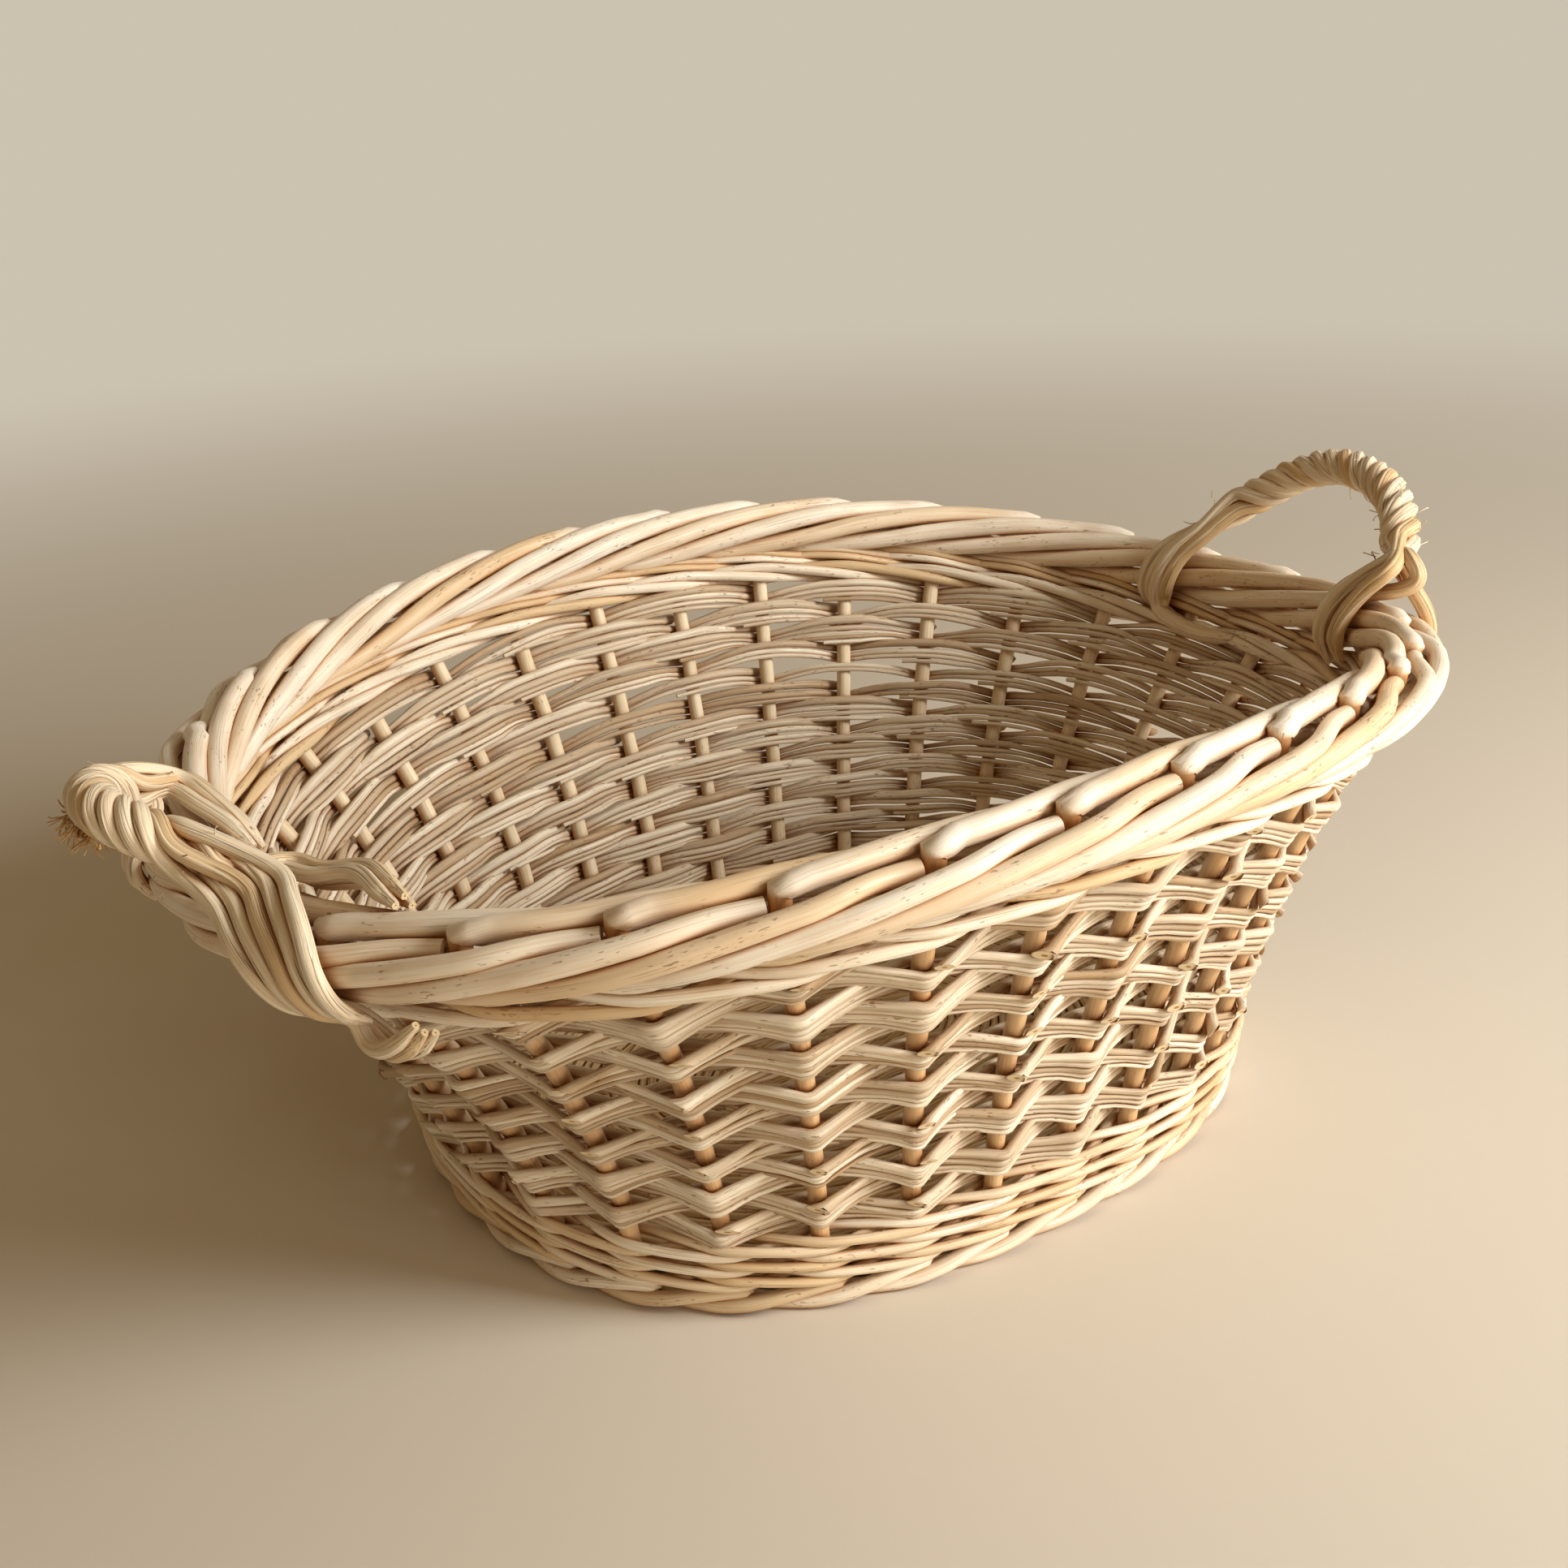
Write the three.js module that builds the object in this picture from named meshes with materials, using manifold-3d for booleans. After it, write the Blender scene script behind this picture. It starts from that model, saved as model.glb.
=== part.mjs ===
// An oval laundry basket woven from peeled willow, in millimetres, standing on z = 0.
// The long axis runs along X, and a bow handle stands on the border at each end.
import * as THREE from 'three';
import { mergeVertices } from 'three/addons/utils/BufferGeometryUtils.js';
import Module from 'manifold-3d';

const wasm = await Module();
wasm.setup();

// The border: half sizes and height of its centre line.
const rimHalfLength = 302;
const rimHalfWidth = 230;
const rimPower = 2.2;
const rimHeight = 217;
const rimDip = 17; // the rim sinks by this at the handles and rises by it at the long sides

// The foot: half sizes of the centre line of the foot border.
const footHalfLength = 205;
const footHalfWidth = 168;
const footPower = 2.35;
const flare = 1.65; // the wall stands steep below and leans out more towards the rim

// The rods.
const stakeCount = 30;
const stakeRadius = 4.3;
const courseCount = 14;
const slewThickness = 3.6;
const waleThickness = 5.4;
const footRadius = 7.5;
const borderHalfWidth = 20;
const borderHalfHeight = 16.5;
const borderRods = 7; // rods that lie side by side at any place of the border
const borderTuck = 1.5; // how far the stakes and the wales reach up beside the border's underside
const rodGap = 0.4; // clearance between rods that touch

// Heights where one kind of weaving ends and the next begins.
const waleTop = 41;
const topWaleHeight = 15;

// The handles: a rope of strands from the border up and out.
const ropeRadius = 9.5;
const ropeStrands = 4;
const hookRadius = 5.6;
const rightHandleReach = 76; // from the centre of the border to the middle of the bow
const leftHandleReach = 61;

// The base.
const stickRadius = 4.5;
const longStickRadius = 3;
const longStickSpacing = 24;
const crossStickSpacing = 62;
const crossStickCount = 4;

const willow = {
  stake: new THREE.MeshStandardMaterial({ color: '#d8b78a', roughness: 0.62, metalness: 0 }),
  slew: new THREE.MeshStandardMaterial({ color: '#cbb68c', roughness: 0.68, metalness: 0 }),
  wale: new THREE.MeshStandardMaterial({ color: '#e6dcc2', roughness: 0.64, metalness: 0 }),
  border: new THREE.MeshStandardMaterial({ color: '#e9d3a8', roughness: 0.55, metalness: 0 }),
  handle: new THREE.MeshStandardMaterial({ color: '#ecdcbc', roughness: 0.6, metalness: 0 }),
  base: new THREE.MeshStandardMaterial({ color: '#c9ae80', roughness: 0.7, metalness: 0 }),
};

const basket = new THREE.Group();

// Adds one named piece to the basket.
function addPiece(name, geometry, material) {
  geometry.computeVertexNormals();
  const piece = new THREE.Mesh(geometry, material);
  piece.name = name;
  basket.add(piece);
}

// An oval between an ellipse and a rounded rectangle, walked anticlockwise from +X.
class Oval extends THREE.Curve {
  constructor(halfLength, halfWidth, power, height) {
    super();
    this.halfLength = halfLength;
    this.halfWidth = halfWidth;
    this.power = power;
    this.height = height;
    this.arcLengthDivisions = 1440;
  }

  getPoint(t, target = new THREE.Vector3()) {
    const angle = 2 * Math.PI * t;
    const across = Math.cos(angle);
    const along = Math.sin(angle);
    const x = this.halfLength * Math.sign(across) * Math.abs(across) ** (2 / this.power);
    const y = this.halfWidth * Math.sign(along) * Math.abs(along) ** (2 / this.power);
    return target.set(x, y, this.height);
  }

  // The point after a share of the way round, measured along the oval.
  around(share) {
    return this.getPointAt(share - Math.floor(share));
  }
}

const rimOval = new Oval(rimHalfLength, rimHalfWidth, rimPower, rimHeight);
const footOval = new Oval(footHalfLength, footHalfWidth, footPower, footRadius);

// The centre line of the border, lowest at the handles.
function rimPoint(share) {
  const point = rimOval.around(share);
  const across = (point.x / rimHalfLength) ** 2;
  const along = (point.y / rimHalfWidth) ** 2;
  point.z -= rimDip * (across - along) / (across + along);
  return point;
}

// A point of the wall's middle surface: share runs round it, rise from the foot (0) to the rim (1).
function wallPoint(share, rise) {
  const foot = footOval.around(share);
  const rim = rimPoint(share);
  const lean = rise ** flare;
  return new THREE.Vector3(
    foot.x + (rim.x - foot.x) * lean,
    foot.y + (rim.y - foot.y) * lean,
    foot.z + (rim.z - foot.z) * rise,
  );
}

// The rise at which the wall reaches a height, at one place of the oval.
function riseAt(share, height) {
  return (height - footRadius) / (rimPoint(share).z - footRadius);
}

// Directions at a point of the wall: round it, up along it, and outwards.
function wallFrame(share, rise) {
  const step = 0.002;
  const round = wallPoint(share + step, rise).sub(wallPoint(share - step, rise)).normalize();
  const up = wallPoint(share, rise + step).sub(wallPoint(share, rise - step)).normalize();
  const out = new THREE.Vector3().crossVectors(round, up).normalize();
  return { round, up, out };
}

// The level direction away from the middle, at one place of an oval.
function levelOut(curvePoint, share) {
  const step = 0.002;
  const round = curvePoint(share + step).sub(curvePoint(share - step));
  return new THREE.Vector3(round.y, -round.x, 0).normalize();
}

// A closed body from its corner points and triangles, with its faces turned outwards.
function closedBody(points, triangles) {
  let volume = 0;
  for (const [a, b, c] of triangles) {
    const cross = new THREE.Vector3().crossVectors(points[b], points[c]);
    volume += points[a].dot(cross);
  }
  const index = [];
  for (const [a, b, c] of triangles) {
    index.push(...(volume > 0 ? [a, b, c] : [a, c, b]));
  }
  const geometry = new THREE.BufferGeometry().setFromPoints(points);
  geometry.setIndex(index);
  return geometry;
}

// A ring through sections of equal point count; shift joins the last section to the first
// with its points moved on, as the strands of a twisted ring need.
function ringBody(sections, shift = 0) {
  const size = sections[0].length;
  const points = sections.flat();
  const triangles = [];
  sections.forEach((section, s) => {
    const last = s === sections.length - 1;
    const next = last ? 0 : s + 1;
    for (let j = 0; j < size; j += 1) {
      const k = (j + 1) % size;
      const a = s * size + j;
      const b = s * size + k;
      const c = next * size + (last ? (j + shift) % size : j);
      const d = next * size + (last ? (k + shift) % size : k);
      triangles.push([a, b, c]);
      triangles.push([b, d, c]);
    }
  });
  return closedBody(points, triangles);
}

// A rod through sections of equal point count, closed at both ends by a fan from its middle.
function rodBody(sections) {
  const size = sections[0].length;
  const points = sections.flat();
  const triangles = [];
  for (let s = 0; s + 1 < sections.length; s += 1) {
    for (let j = 0; j < size; j += 1) {
      const k = (j + 1) % size;
      triangles.push([s * size + j, s * size + k, (s + 1) * size + j]);
      triangles.push([s * size + k, (s + 1) * size + k, (s + 1) * size + j]);
    }
  }
  const middle = (section) => {
    const sum = new THREE.Vector3();
    section.forEach((point) => sum.add(point));
    return sum.divideScalar(size);
  };
  const first = points.length;
  points.push(middle(sections[0]));
  const last = points.length;
  points.push(middle(sections.at(-1)));
  const end = (sections.length - 1) * size;
  for (let j = 0; j < size; j += 1) {
    const k = (j + 1) % size;
    triangles.push([first, k, j]);
    triangles.push([last, end + j, end + k]);
  }
  return closedBody(points, triangles);
}

// A round or stranded rope along a curve. The strands are ridges that turn once in each lay, and
// over three steps at both ends the rope may thin down to another radius.
function ropeBody(curve, radius, steps, look = {}) {
  const { sides = 6, strands = 0, ridge = 0, lay = 60, endRadius = radius } = look;
  const frames = curve.computeFrenetFrames(steps, false);
  const length = curve.getLength();
  const sections = [];
  for (let s = 0; s <= steps; s += 1) {
    const centre = curve.getPointAt(s / steps);
    const turn = 2 * Math.PI * ((s / steps) * length) / lay;
    const section = [];
    const thickening = Math.min(1, Math.min(s, steps - s) / 3);
    const here = endRadius + (radius - endRadius) * thickening;
    for (let j = 0; j < sides; j += 1) {
      const angle = 2 * Math.PI * j / sides;
      const reach = here - ridge + ridge * Math.cos(strands * (angle - turn));
      const point = centre.clone();
      point.addScaledVector(frames.normals[s], reach * Math.cos(angle));
      point.addScaledVector(frames.binormals[s], reach * Math.sin(angle));
      section.push(point);
    }
    sections.push(section);
  }
  return rodBody(sections);
}

// A solid for joining and cutting, made from a closed geometry.
function toSolid(geometry) {
  const bare = geometry.clone();
  bare.deleteAttribute('normal');
  bare.deleteAttribute('uv');
  const merged = mergeVertices(bare, 1e-4);
  const mesh = new wasm.Mesh({
    numProp: 3,
    vertProperties: new Float32Array(merged.attributes.position.array),
    triVerts: new Uint32Array(merged.index.array),
  });
  return new wasm.Manifold(mesh);
}

// The geometry of a joined or cut solid.
function fromSolid(solid) {
  const mesh = solid.getMesh();
  const geometry = new THREE.BufferGeometry();
  geometry.setAttribute('position', new THREE.BufferAttribute(mesh.vertProperties, mesh.numProp));
  geometry.setIndex(new THREE.BufferAttribute(mesh.triVerts, 1));
  return geometry;
}

function number(n) {
  return String(n).padStart(2, '0');
}

// Stakes: the uprights of the wall, half a space away from both axes of the oval.
function stakeShare(i) {
  return (i + 0.5) / stakeCount;
}

// The stakes and the lower wale rest on the flat that tops the foot border's section.
const footSides = 8;
const footTop = footRadius * (1 + Math.sin(Math.PI * (0.5 - 1 / footSides)));
const stakeFoot = footTop + rodGap;
const stakeSteps = 5;
const stakeSides = 5;
const stakeBack = stakeRadius * Math.cos(Math.PI / stakeSides); // to the flat on a stake's inner side
for (let i = 0; i < stakeCount; i += 1) {
  const share = stakeShare(i);
  const bottom = riseAt(share, stakeFoot);
  const top = riseAt(share, rimPoint(share).z - borderHalfHeight + borderTuck);
  const sections = [];
  for (let s = 0; s <= stakeSteps; s += 1) {
    const rise = bottom + (top - bottom) * s / stakeSteps;
    const centre = wallPoint(share, rise);
    const { round, out } = wallFrame(share, rise);
    const section = [];
    for (let j = 0; j < stakeSides; j += 1) {
      const angle = 2 * Math.PI * (j / stakeSides + 0.25);
      const point = centre.clone();
      point.addScaledVector(round, stakeRadius * Math.cos(angle));
      point.addScaledVector(out, stakeRadius * Math.sin(angle));
      section.push(point);
    }
    sections.push(section);
  }
  addPiece(`stake_${number(i + 1)}`, rodBody(sections), willow.stake);
}

// Heights of the two edges of the top wale, close under the border.
function topWaleTop(share) {
  return rimPoint(share).z - borderHalfHeight + borderTuck - rodGap;
}

function topWaleBottom(share) {
  return topWaleTop(share) - topWaleHeight;
}

// Slewing: bands of thin rods laid together, in front of one stake and behind the next.
// Each band bends sharply at every stake, and the next band up passes on the other side.
const slewBottom = waleTop + 2 * rodGap;
const slewOffset = (stakeRadius + rodGap) / 0.9 + slewThickness / 2;
for (let course = 0; course < courseCount; course += 1) {
  const sections = [];
  for (let i = 0; i < stakeCount; i += 1) {
    const share = stakeShare(i);
    const bottom = riseAt(share, slewBottom);
    const top = riseAt(share, topWaleBottom(share) - rodGap);
    const low = wallPoint(share, bottom + (top - bottom) * course / courseCount);
    const high = wallPoint(share, bottom + (top - bottom) * (course + 1) / courseCount);
    const { out } = wallFrame(share, bottom + (top - bottom) * (course + 0.5) / courseCount);
    const up = high.clone().sub(low);
    const half = (up.length() - rodGap) / 2;
    up.normalize();
    const side = (i + course) % 2 === 0 ? 1 : -1;
    const centre = low.add(high).multiplyScalar(0.5).addScaledVector(out, side * slewOffset);
    const thick = slewThickness / 2;
    const outline = [
      [0, -half],
      [thick, -half * 0.5],
      [thick * 0.1, 0],
      [thick, half * 0.5],
      [0, half],
      [-thick, 0],
    ];
    sections.push(outline.map(([outwards, upwards]) => {
      const point = centre.clone();
      point.addScaledVector(out, outwards);
      return point.addScaledVector(up, upwards);
    }));
  }
  addPiece(`slew_${number(course + 1)}`, ringBody(sections), willow.slew);
}

// A wale: rows of thick rods on one face of the stakes (side 1 outside, -1 inside).
// It bulges at each stake and sinks a little between them.
function waleBody(side, rows, lowHeight, highHeight, sectionsPerStake) {
  const sections = [];
  const count = stakeCount * sectionsPerStake;
  for (let s = 0; s < count; s += 1) {
    const share = stakeShare(s / sectionsPerStake);
    const low = wallPoint(share, riseAt(share, lowHeight(share)));
    const high = wallPoint(share, riseAt(share, highHeight(share)));
    const { out } = wallFrame(share, riseAt(share, (lowHeight(share) + highHeight(share)) / 2));
    const up = high.clone().sub(low);
    const bulge = s % sectionsPerStake === 0 ? 0 : 1;
    const inner = (side > 0 ? stakeRadius : stakeBack) + rodGap + 0.2;
    const outline = [[inner, 1], [inner, 0]];
    for (let row = 0; row < rows; row += 1) {
      if (row > 0) {
        outline.push([inner + waleThickness - 2, row / rows]);
      }
      outline.push([inner + waleThickness - bulge, (row + 0.5) / rows]);
    }
    sections.push(outline.map(([outwards, upwards]) => {
      const point = low.clone().addScaledVector(up, upwards);
      return point.addScaledVector(out, side * outwards);
    }));
  }
  return ringBody(sections);
}

const lowerWale = [() => stakeFoot, () => waleTop];
addPiece('lower_wale_outer', waleBody(1, 4, ...lowerWale, 2), willow.wale);
addPiece('lower_wale_inner', waleBody(-1, 3, ...lowerWale, 1), willow.wale);
addPiece('top_wale_outer', waleBody(1, 3, topWaleBottom, topWaleTop, 1), willow.wale);
addPiece('top_wale_inner', waleBody(-1, 3, topWaleBottom, topWaleTop, 1), willow.wale);

// The foot border: thick rods twisted round the foot, flat where the basket stands.
const footRidge = 1.5;
const footSections = [];
for (let s = 0; s < 2 * stakeCount; s += 1) {
  const share = stakeShare(s / 2);
  const centre = footOval.around(share);
  const out = levelOut((t) => footOval.around(t), share);
  const section = [];
  for (let j = 0; j < footSides; j += 1) {
    const angle = 2 * Math.PI * (j + 0.5) / footSides;
    const onRod = (j + s) % 2 === 0;
    const reach = footRadius - (onRod ? 0 : footRidge);
    const point = centre.clone();
    if (Math.sin(angle) < -0.8) {
      point.addScaledVector(out, footRadius / 2 * Math.sign(Math.cos(angle)));
      point.z = 0;
    } else {
      point.addScaledVector(out, reach * Math.cos(angle));
      point.z += reach * Math.sin(angle);
    }
    section.push(point);
  }
  footSections.push(section);
}
addPiece('foot_border', ringBody(footSections), willow.wale);

// The rolled border: every stake is bent over at the top, runs over the inner edge, down the
// inside, under and out, and climbs the outer face to the right, where its end is tucked in.
// Seven rods lie side by side, and each moves on by one place from stake to stake.
const borderSteps = 2;
const pointsPerRod = 2;
const borderSides = borderRods * pointsPerRod;
const borderSections = [];
for (let s = 0; s < stakeCount * borderSteps; s += 1) {
  const share = stakeShare(s / borderSteps);
  const centre = rimPoint(share);
  const out = levelOut(rimPoint, share);
  const section = [];
  for (let j = 0; j < borderSides; j += 1) {
    const place = j / pointsPerRod + s / borderSteps;
    const angle = 2 * Math.PI * place / borderRods;
    const depth = j % pointsPerRod === 0 ? 4 : 0;
    const point = centre.clone().addScaledVector(out, (borderHalfWidth - depth) * Math.cos(angle));
    point.z += (borderHalfHeight - depth) * Math.sin(angle);
    section.push(point);
  }
  borderSections.push(section);
}
const borderShift = (stakeCount % borderRods) * pointsPerRod;
addPiece('rolled_border', ringBody(borderSections, borderShift), willow.border);

// How a bow climbs from its leg: distances from the middle as shares of the span, and heights as
// shares of the rise. One side of each handle is taut, and the other lies low along the border.
const tautSide = [[0.45, 0.35], [0.35, 0.7], [0.2, 0.94]];
const slackSide = [[0.4, 0.16], [0.27, 0.42], [0.13, 0.82]];

// A handle: a bow of twisted strands between two legs. Each leg parts above the border, one
// bundle of strands goes down its outer face and under it, and the other down its inner face.
function handleBody(firstLeg, lastLeg, leanDegrees, handleReach) {
  const lean = leanDegrees * Math.PI / 180;
  const legShares = [firstLeg / stakeCount, lastLeg / stakeCount];
  const feet = legShares.map((share) => rimPoint(share));
  const outs = legShares.map((share) => levelOut(rimPoint, share));
  const middleShare = (firstLeg + lastLeg) / 2 / stakeCount;
  const middleOut = levelOut(rimPoint, middleShare);
  const up = new THREE.Vector3(0, 0, 1);
  const reachOut = middleOut.clone().multiplyScalar(Math.sin(lean));
  const reach = reachOut.addScaledVector(up, Math.cos(lean));
  const crest = rimPoint(middleShare).addScaledVector(reach, handleReach);
  const wrapWidth = borderHalfWidth + 3 * rodGap + hookRadius;
  const wrapHeight = borderHalfHeight + 3 * rodGap + hookRadius;
  const starts = feet.map((foot, n) => {
    const start = foot.clone().addScaledVector(outs[n], borderHalfWidth * 0.2);
    start.z += wrapHeight;
    return start;
  });
  const span = starts[1].clone().sub(starts[0]);
  const base = starts[0].clone().add(starts[1]).multiplyScalar(0.5);
  const rise = crest.clone().sub(base);
  const onBow = (side, [aside, height]) => {
    const point = base.clone().addScaledVector(span, side * aside);
    return point.addScaledVector(rise, height);
  };
  const firstSide = tautSide.map((knot) => onBow(-1, knot));
  const lastSide = slackSide.map((knot) => onBow(1, knot)).reverse();
  const knots = [starts[0], ...firstSide, crest, ...lastSide, starts[1]];
  const bow = new THREE.CatmullRomCurve3(knots);
  const ropeLook = { sides: 8, strands: ropeStrands, ridge: 1.2, lay: 76, endRadius: hookRadius };
  const bowSteps = Math.round(bow.getLength() / 9.5);
  let solid = toSolid(ropeBody(bow, ropeRadius, bowSteps, ropeLook));
  for (let n = 0; n < 2; n += 1) {
    for (const [firstAngle, lastAngle] of [[95, -95], [65, 205]]) {
      const points = [];
      for (let s = 0; s <= 8; s += 1) {
        const angle = (firstAngle + (lastAngle - firstAngle) * s / 8) * Math.PI / 180;
        const point = feet[n].clone().addScaledVector(outs[n], wrapWidth * Math.cos(angle));
        point.z += wrapHeight * Math.sin(angle);
        points.push(point);
      }
      const hook = new THREE.CatmullRomCurve3(points);
      solid = solid.add(toSolid(ropeBody(hook, hookRadius, 6, { sides: 6 })));
    }
  }
  return fromSolid(solid);
}

// The wider handle stands steep at +X, and the narrower one at -X leans out further.
const leftMiddle = stakeCount / 2;
addPiece('handle_right', handleBody(-2, 1, 24, rightHandleReach), willow.handle);
const leftBody = handleBody(leftMiddle - 1, leftMiddle + 1, 38, leftHandleReach);
addPiece('handle_left', leftBody, willow.handle);

// The base: sticks across the short way, split in their middle for three long sticks, and a
// woven oval on top that fills the foot.
const stickHeight = footRadius - 1;
const stickLimit = { length: footHalfLength - footRadius, width: footHalfWidth - footRadius };

// How far a stick reaches from the middle when it lies a distance off the axis.
function stickReach(half, otherHalf, offset) {
  return half * (1 - (offset / otherHalf) ** footPower) ** (1 / footPower) + 0.2;
}

function stickBody(reach, radius, along, offset, sides) {
  const stick = new THREE.CylinderGeometry(radius, radius, 2 * reach, sides, 1);
  if (along === 'x') {
    stick.rotateZ(Math.PI / 2);
    stick.translate(0, offset, stickHeight);
  } else {
    stick.translate(offset, 0, stickHeight);
  }
  return stick;
}

const longOffsets = [-longStickSpacing, 0, longStickSpacing];
longOffsets.forEach((offset, n) => {
  const reach = stickReach(stickLimit.length, stickLimit.width, Math.abs(offset) + longStickRadius);
  const stick = stickBody(reach, longStickRadius, 'x', offset, 6);
  addPiece(`base_long_stick_${n + 1}`, stick, willow.base);
});

for (let n = 0; n < crossStickCount; n += 1) {
  const offset = (n - (crossStickCount - 1) / 2) * crossStickSpacing;
  const reach = stickReach(stickLimit.width, stickLimit.length, Math.abs(offset) + stickRadius);
  let solid = toSolid(stickBody(reach, stickRadius, 'y', offset, 6));
  for (const longOffset of longOffsets) {
    const slit = stickBody(stickLimit.length, longStickRadius + rodGap, 'x', longOffset, 6);
    solid = solid.subtract(toSolid(slit));
  }
  addPiece(`base_cross_stick_${n + 1}`, fromSolid(solid), willow.base);
}

// The weave goes over one spoke and under the next, so each ring's corners lie high and low in
// turn, on its top and, with flatter relief, underneath.
const baseBottom = stickHeight + stickRadius + rodGap;
const baseTop = stakeFoot - rodGap;
const baseEdge = footRadius + 0.8;
const baseHole = 8; // half the width inside the innermost ring
const baseFaces = [
  { rings: 4, height: baseBottom, relief: 0.7 },
  { rings: 9, height: baseTop, relief: -1.3 },
];
const basePoints = [];
const baseTriangles = [];
const ringStarts = [];
function addRing(inset, height, relief, n) {
  ringStarts.push(basePoints.length);
  for (let j = 0; j < stakeCount; j += 1) {
    const angle = 2 * Math.PI * (j + 0.5) / stakeCount;
    const across = Math.cos(angle);
    const along = Math.sin(angle);
    const x = (footHalfLength - inset) * Math.sign(across) * Math.abs(across) ** (2 / footPower);
    const y = (footHalfWidth - inset) * Math.sign(along) * Math.abs(along) ** (2 / footPower);
    basePoints.push(new THREE.Vector3(x, y, height + (n + j) % 2 * relief));
  }
}
baseFaces.forEach(({ rings, height, relief }, face) => {
  for (let n = 0; n < rings; n += 1) {
    const inwards = face === 0 ? rings - 1 - n : n; // the underside from the middle out, the top back
    const inset = baseEdge + inwards * (footHalfWidth - baseEdge - baseHole) / (rings - 1);
    addRing(inset, height, relief, inwards);
  }
});
for (let n = 0; n + 1 < ringStarts.length; n += 1) {
  for (let j = 0; j < stakeCount; j += 1) {
    const k = (j + 1) % stakeCount;
    const near = ringStarts[n];
    const far = ringStarts[n + 1];
    baseTriangles.push([near + j, near + k, far + j]);
    baseTriangles.push([near + k, far + k, far + j]);
  }
}
const bottomMiddle = basePoints.length;
basePoints.push(new THREE.Vector3(0, 0, baseBottom));
const topMiddle = basePoints.length;
basePoints.push(new THREE.Vector3(0, 0, baseTop - 0.6));
for (let j = 0; j < stakeCount; j += 1) {
  const k = (j + 1) % stakeCount;
  const innermost = ringStarts[ringStarts.length - 1];
  baseTriangles.push([bottomMiddle, k, j]);
  baseTriangles.push([topMiddle, innermost + j, innermost + k]);
}
addPiece('base_weave', closedBody(basePoints, baseTriangles), willow.base);

// The left handle reaches further than the right one, and X = 0 lies halfway between their ends.
const middle = new THREE.Box3().setFromObject(basket).getCenter(new THREE.Vector3());
basket.children.forEach((piece) => piece.geometry.translate(-middle.x, 0, 0));

export default basket;
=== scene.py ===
import math

import bpy
import numpy as np
from mathutils import Matrix, Vector


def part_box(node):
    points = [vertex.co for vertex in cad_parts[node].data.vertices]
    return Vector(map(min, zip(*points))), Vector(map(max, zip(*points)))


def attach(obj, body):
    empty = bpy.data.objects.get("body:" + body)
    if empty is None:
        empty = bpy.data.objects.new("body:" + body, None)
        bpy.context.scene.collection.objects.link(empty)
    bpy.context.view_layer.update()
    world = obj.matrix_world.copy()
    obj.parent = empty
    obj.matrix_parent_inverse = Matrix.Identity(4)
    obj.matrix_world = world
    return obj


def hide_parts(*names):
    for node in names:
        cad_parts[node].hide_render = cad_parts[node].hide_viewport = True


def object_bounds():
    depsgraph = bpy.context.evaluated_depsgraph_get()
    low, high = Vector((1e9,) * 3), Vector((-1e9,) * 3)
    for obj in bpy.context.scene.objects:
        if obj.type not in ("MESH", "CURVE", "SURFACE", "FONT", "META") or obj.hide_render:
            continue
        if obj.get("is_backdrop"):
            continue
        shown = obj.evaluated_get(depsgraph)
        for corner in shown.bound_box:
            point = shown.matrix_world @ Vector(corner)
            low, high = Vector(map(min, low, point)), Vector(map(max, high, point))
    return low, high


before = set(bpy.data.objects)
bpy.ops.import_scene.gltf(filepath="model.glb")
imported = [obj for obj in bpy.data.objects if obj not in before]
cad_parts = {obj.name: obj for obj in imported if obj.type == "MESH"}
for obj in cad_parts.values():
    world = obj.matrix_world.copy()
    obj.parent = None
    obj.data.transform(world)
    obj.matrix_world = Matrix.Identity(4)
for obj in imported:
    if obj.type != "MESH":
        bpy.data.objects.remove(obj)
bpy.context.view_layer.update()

# Base sticks. Three long sticks of peeled willow run through slits in four thicker cross
# sticks; the ends are cut square and stop at the foot border.

# Sizes are in millimetres. An oval has half a length, half a width and a power: 2 gives an
# ellipse, and more gives fuller corners.
FOOT = {"half_length": 205.0, "half_width": 168.0, "power": 2.35}
FOOT_RADIUS = 7.5
STICK_HEIGHT = FOOT_RADIUS - 1
STICK_SHORT, OVAL_NARROW = 9.0, 8.0
LONG_STICK_RADIUS, CROSS_STICK_RADIUS = 3.0, 4.4

# The basket stands so that X = 0 is halfway between the handle ends, off its own middle.
foot_low, foot_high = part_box("foot_border")
MIDDLE_X = 500 * (foot_low.x + foot_high.x)


def unit(vectors):
    """Vectors brought to a length of 1."""
    return vectors / np.linalg.norm(vectors, axis=-1, keepdims=True)


def add(tree, kind, inputs=None, **settings):
    """Adds a node to a tree with its settings, and sets or links its inputs: a node among them
    stands for its first output."""
    node = tree.nodes.new(kind)
    for key, value in settings.items():
        setattr(node, key, value)
    for key, value in (inputs or {}).items():
        if isinstance(value, bpy.types.Node):
            value = value.outputs[0]
        if isinstance(value, bpy.types.NodeSocket):
            tree.links.new(value, node.inputs[key])
        else:
            node.inputs[key].default_value = value
    return node


def linear(hex_colour):
    """A colour for a node from its sRGB hex value."""
    parts = [int(hex_colour[i : i + 2], 16) / 255 for i in (1, 3, 5)]
    return [c / 12.92 if c <= 0.04045 else ((c + 0.055) / 1.055) ** 2.4 for c in parts] + [1]


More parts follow.
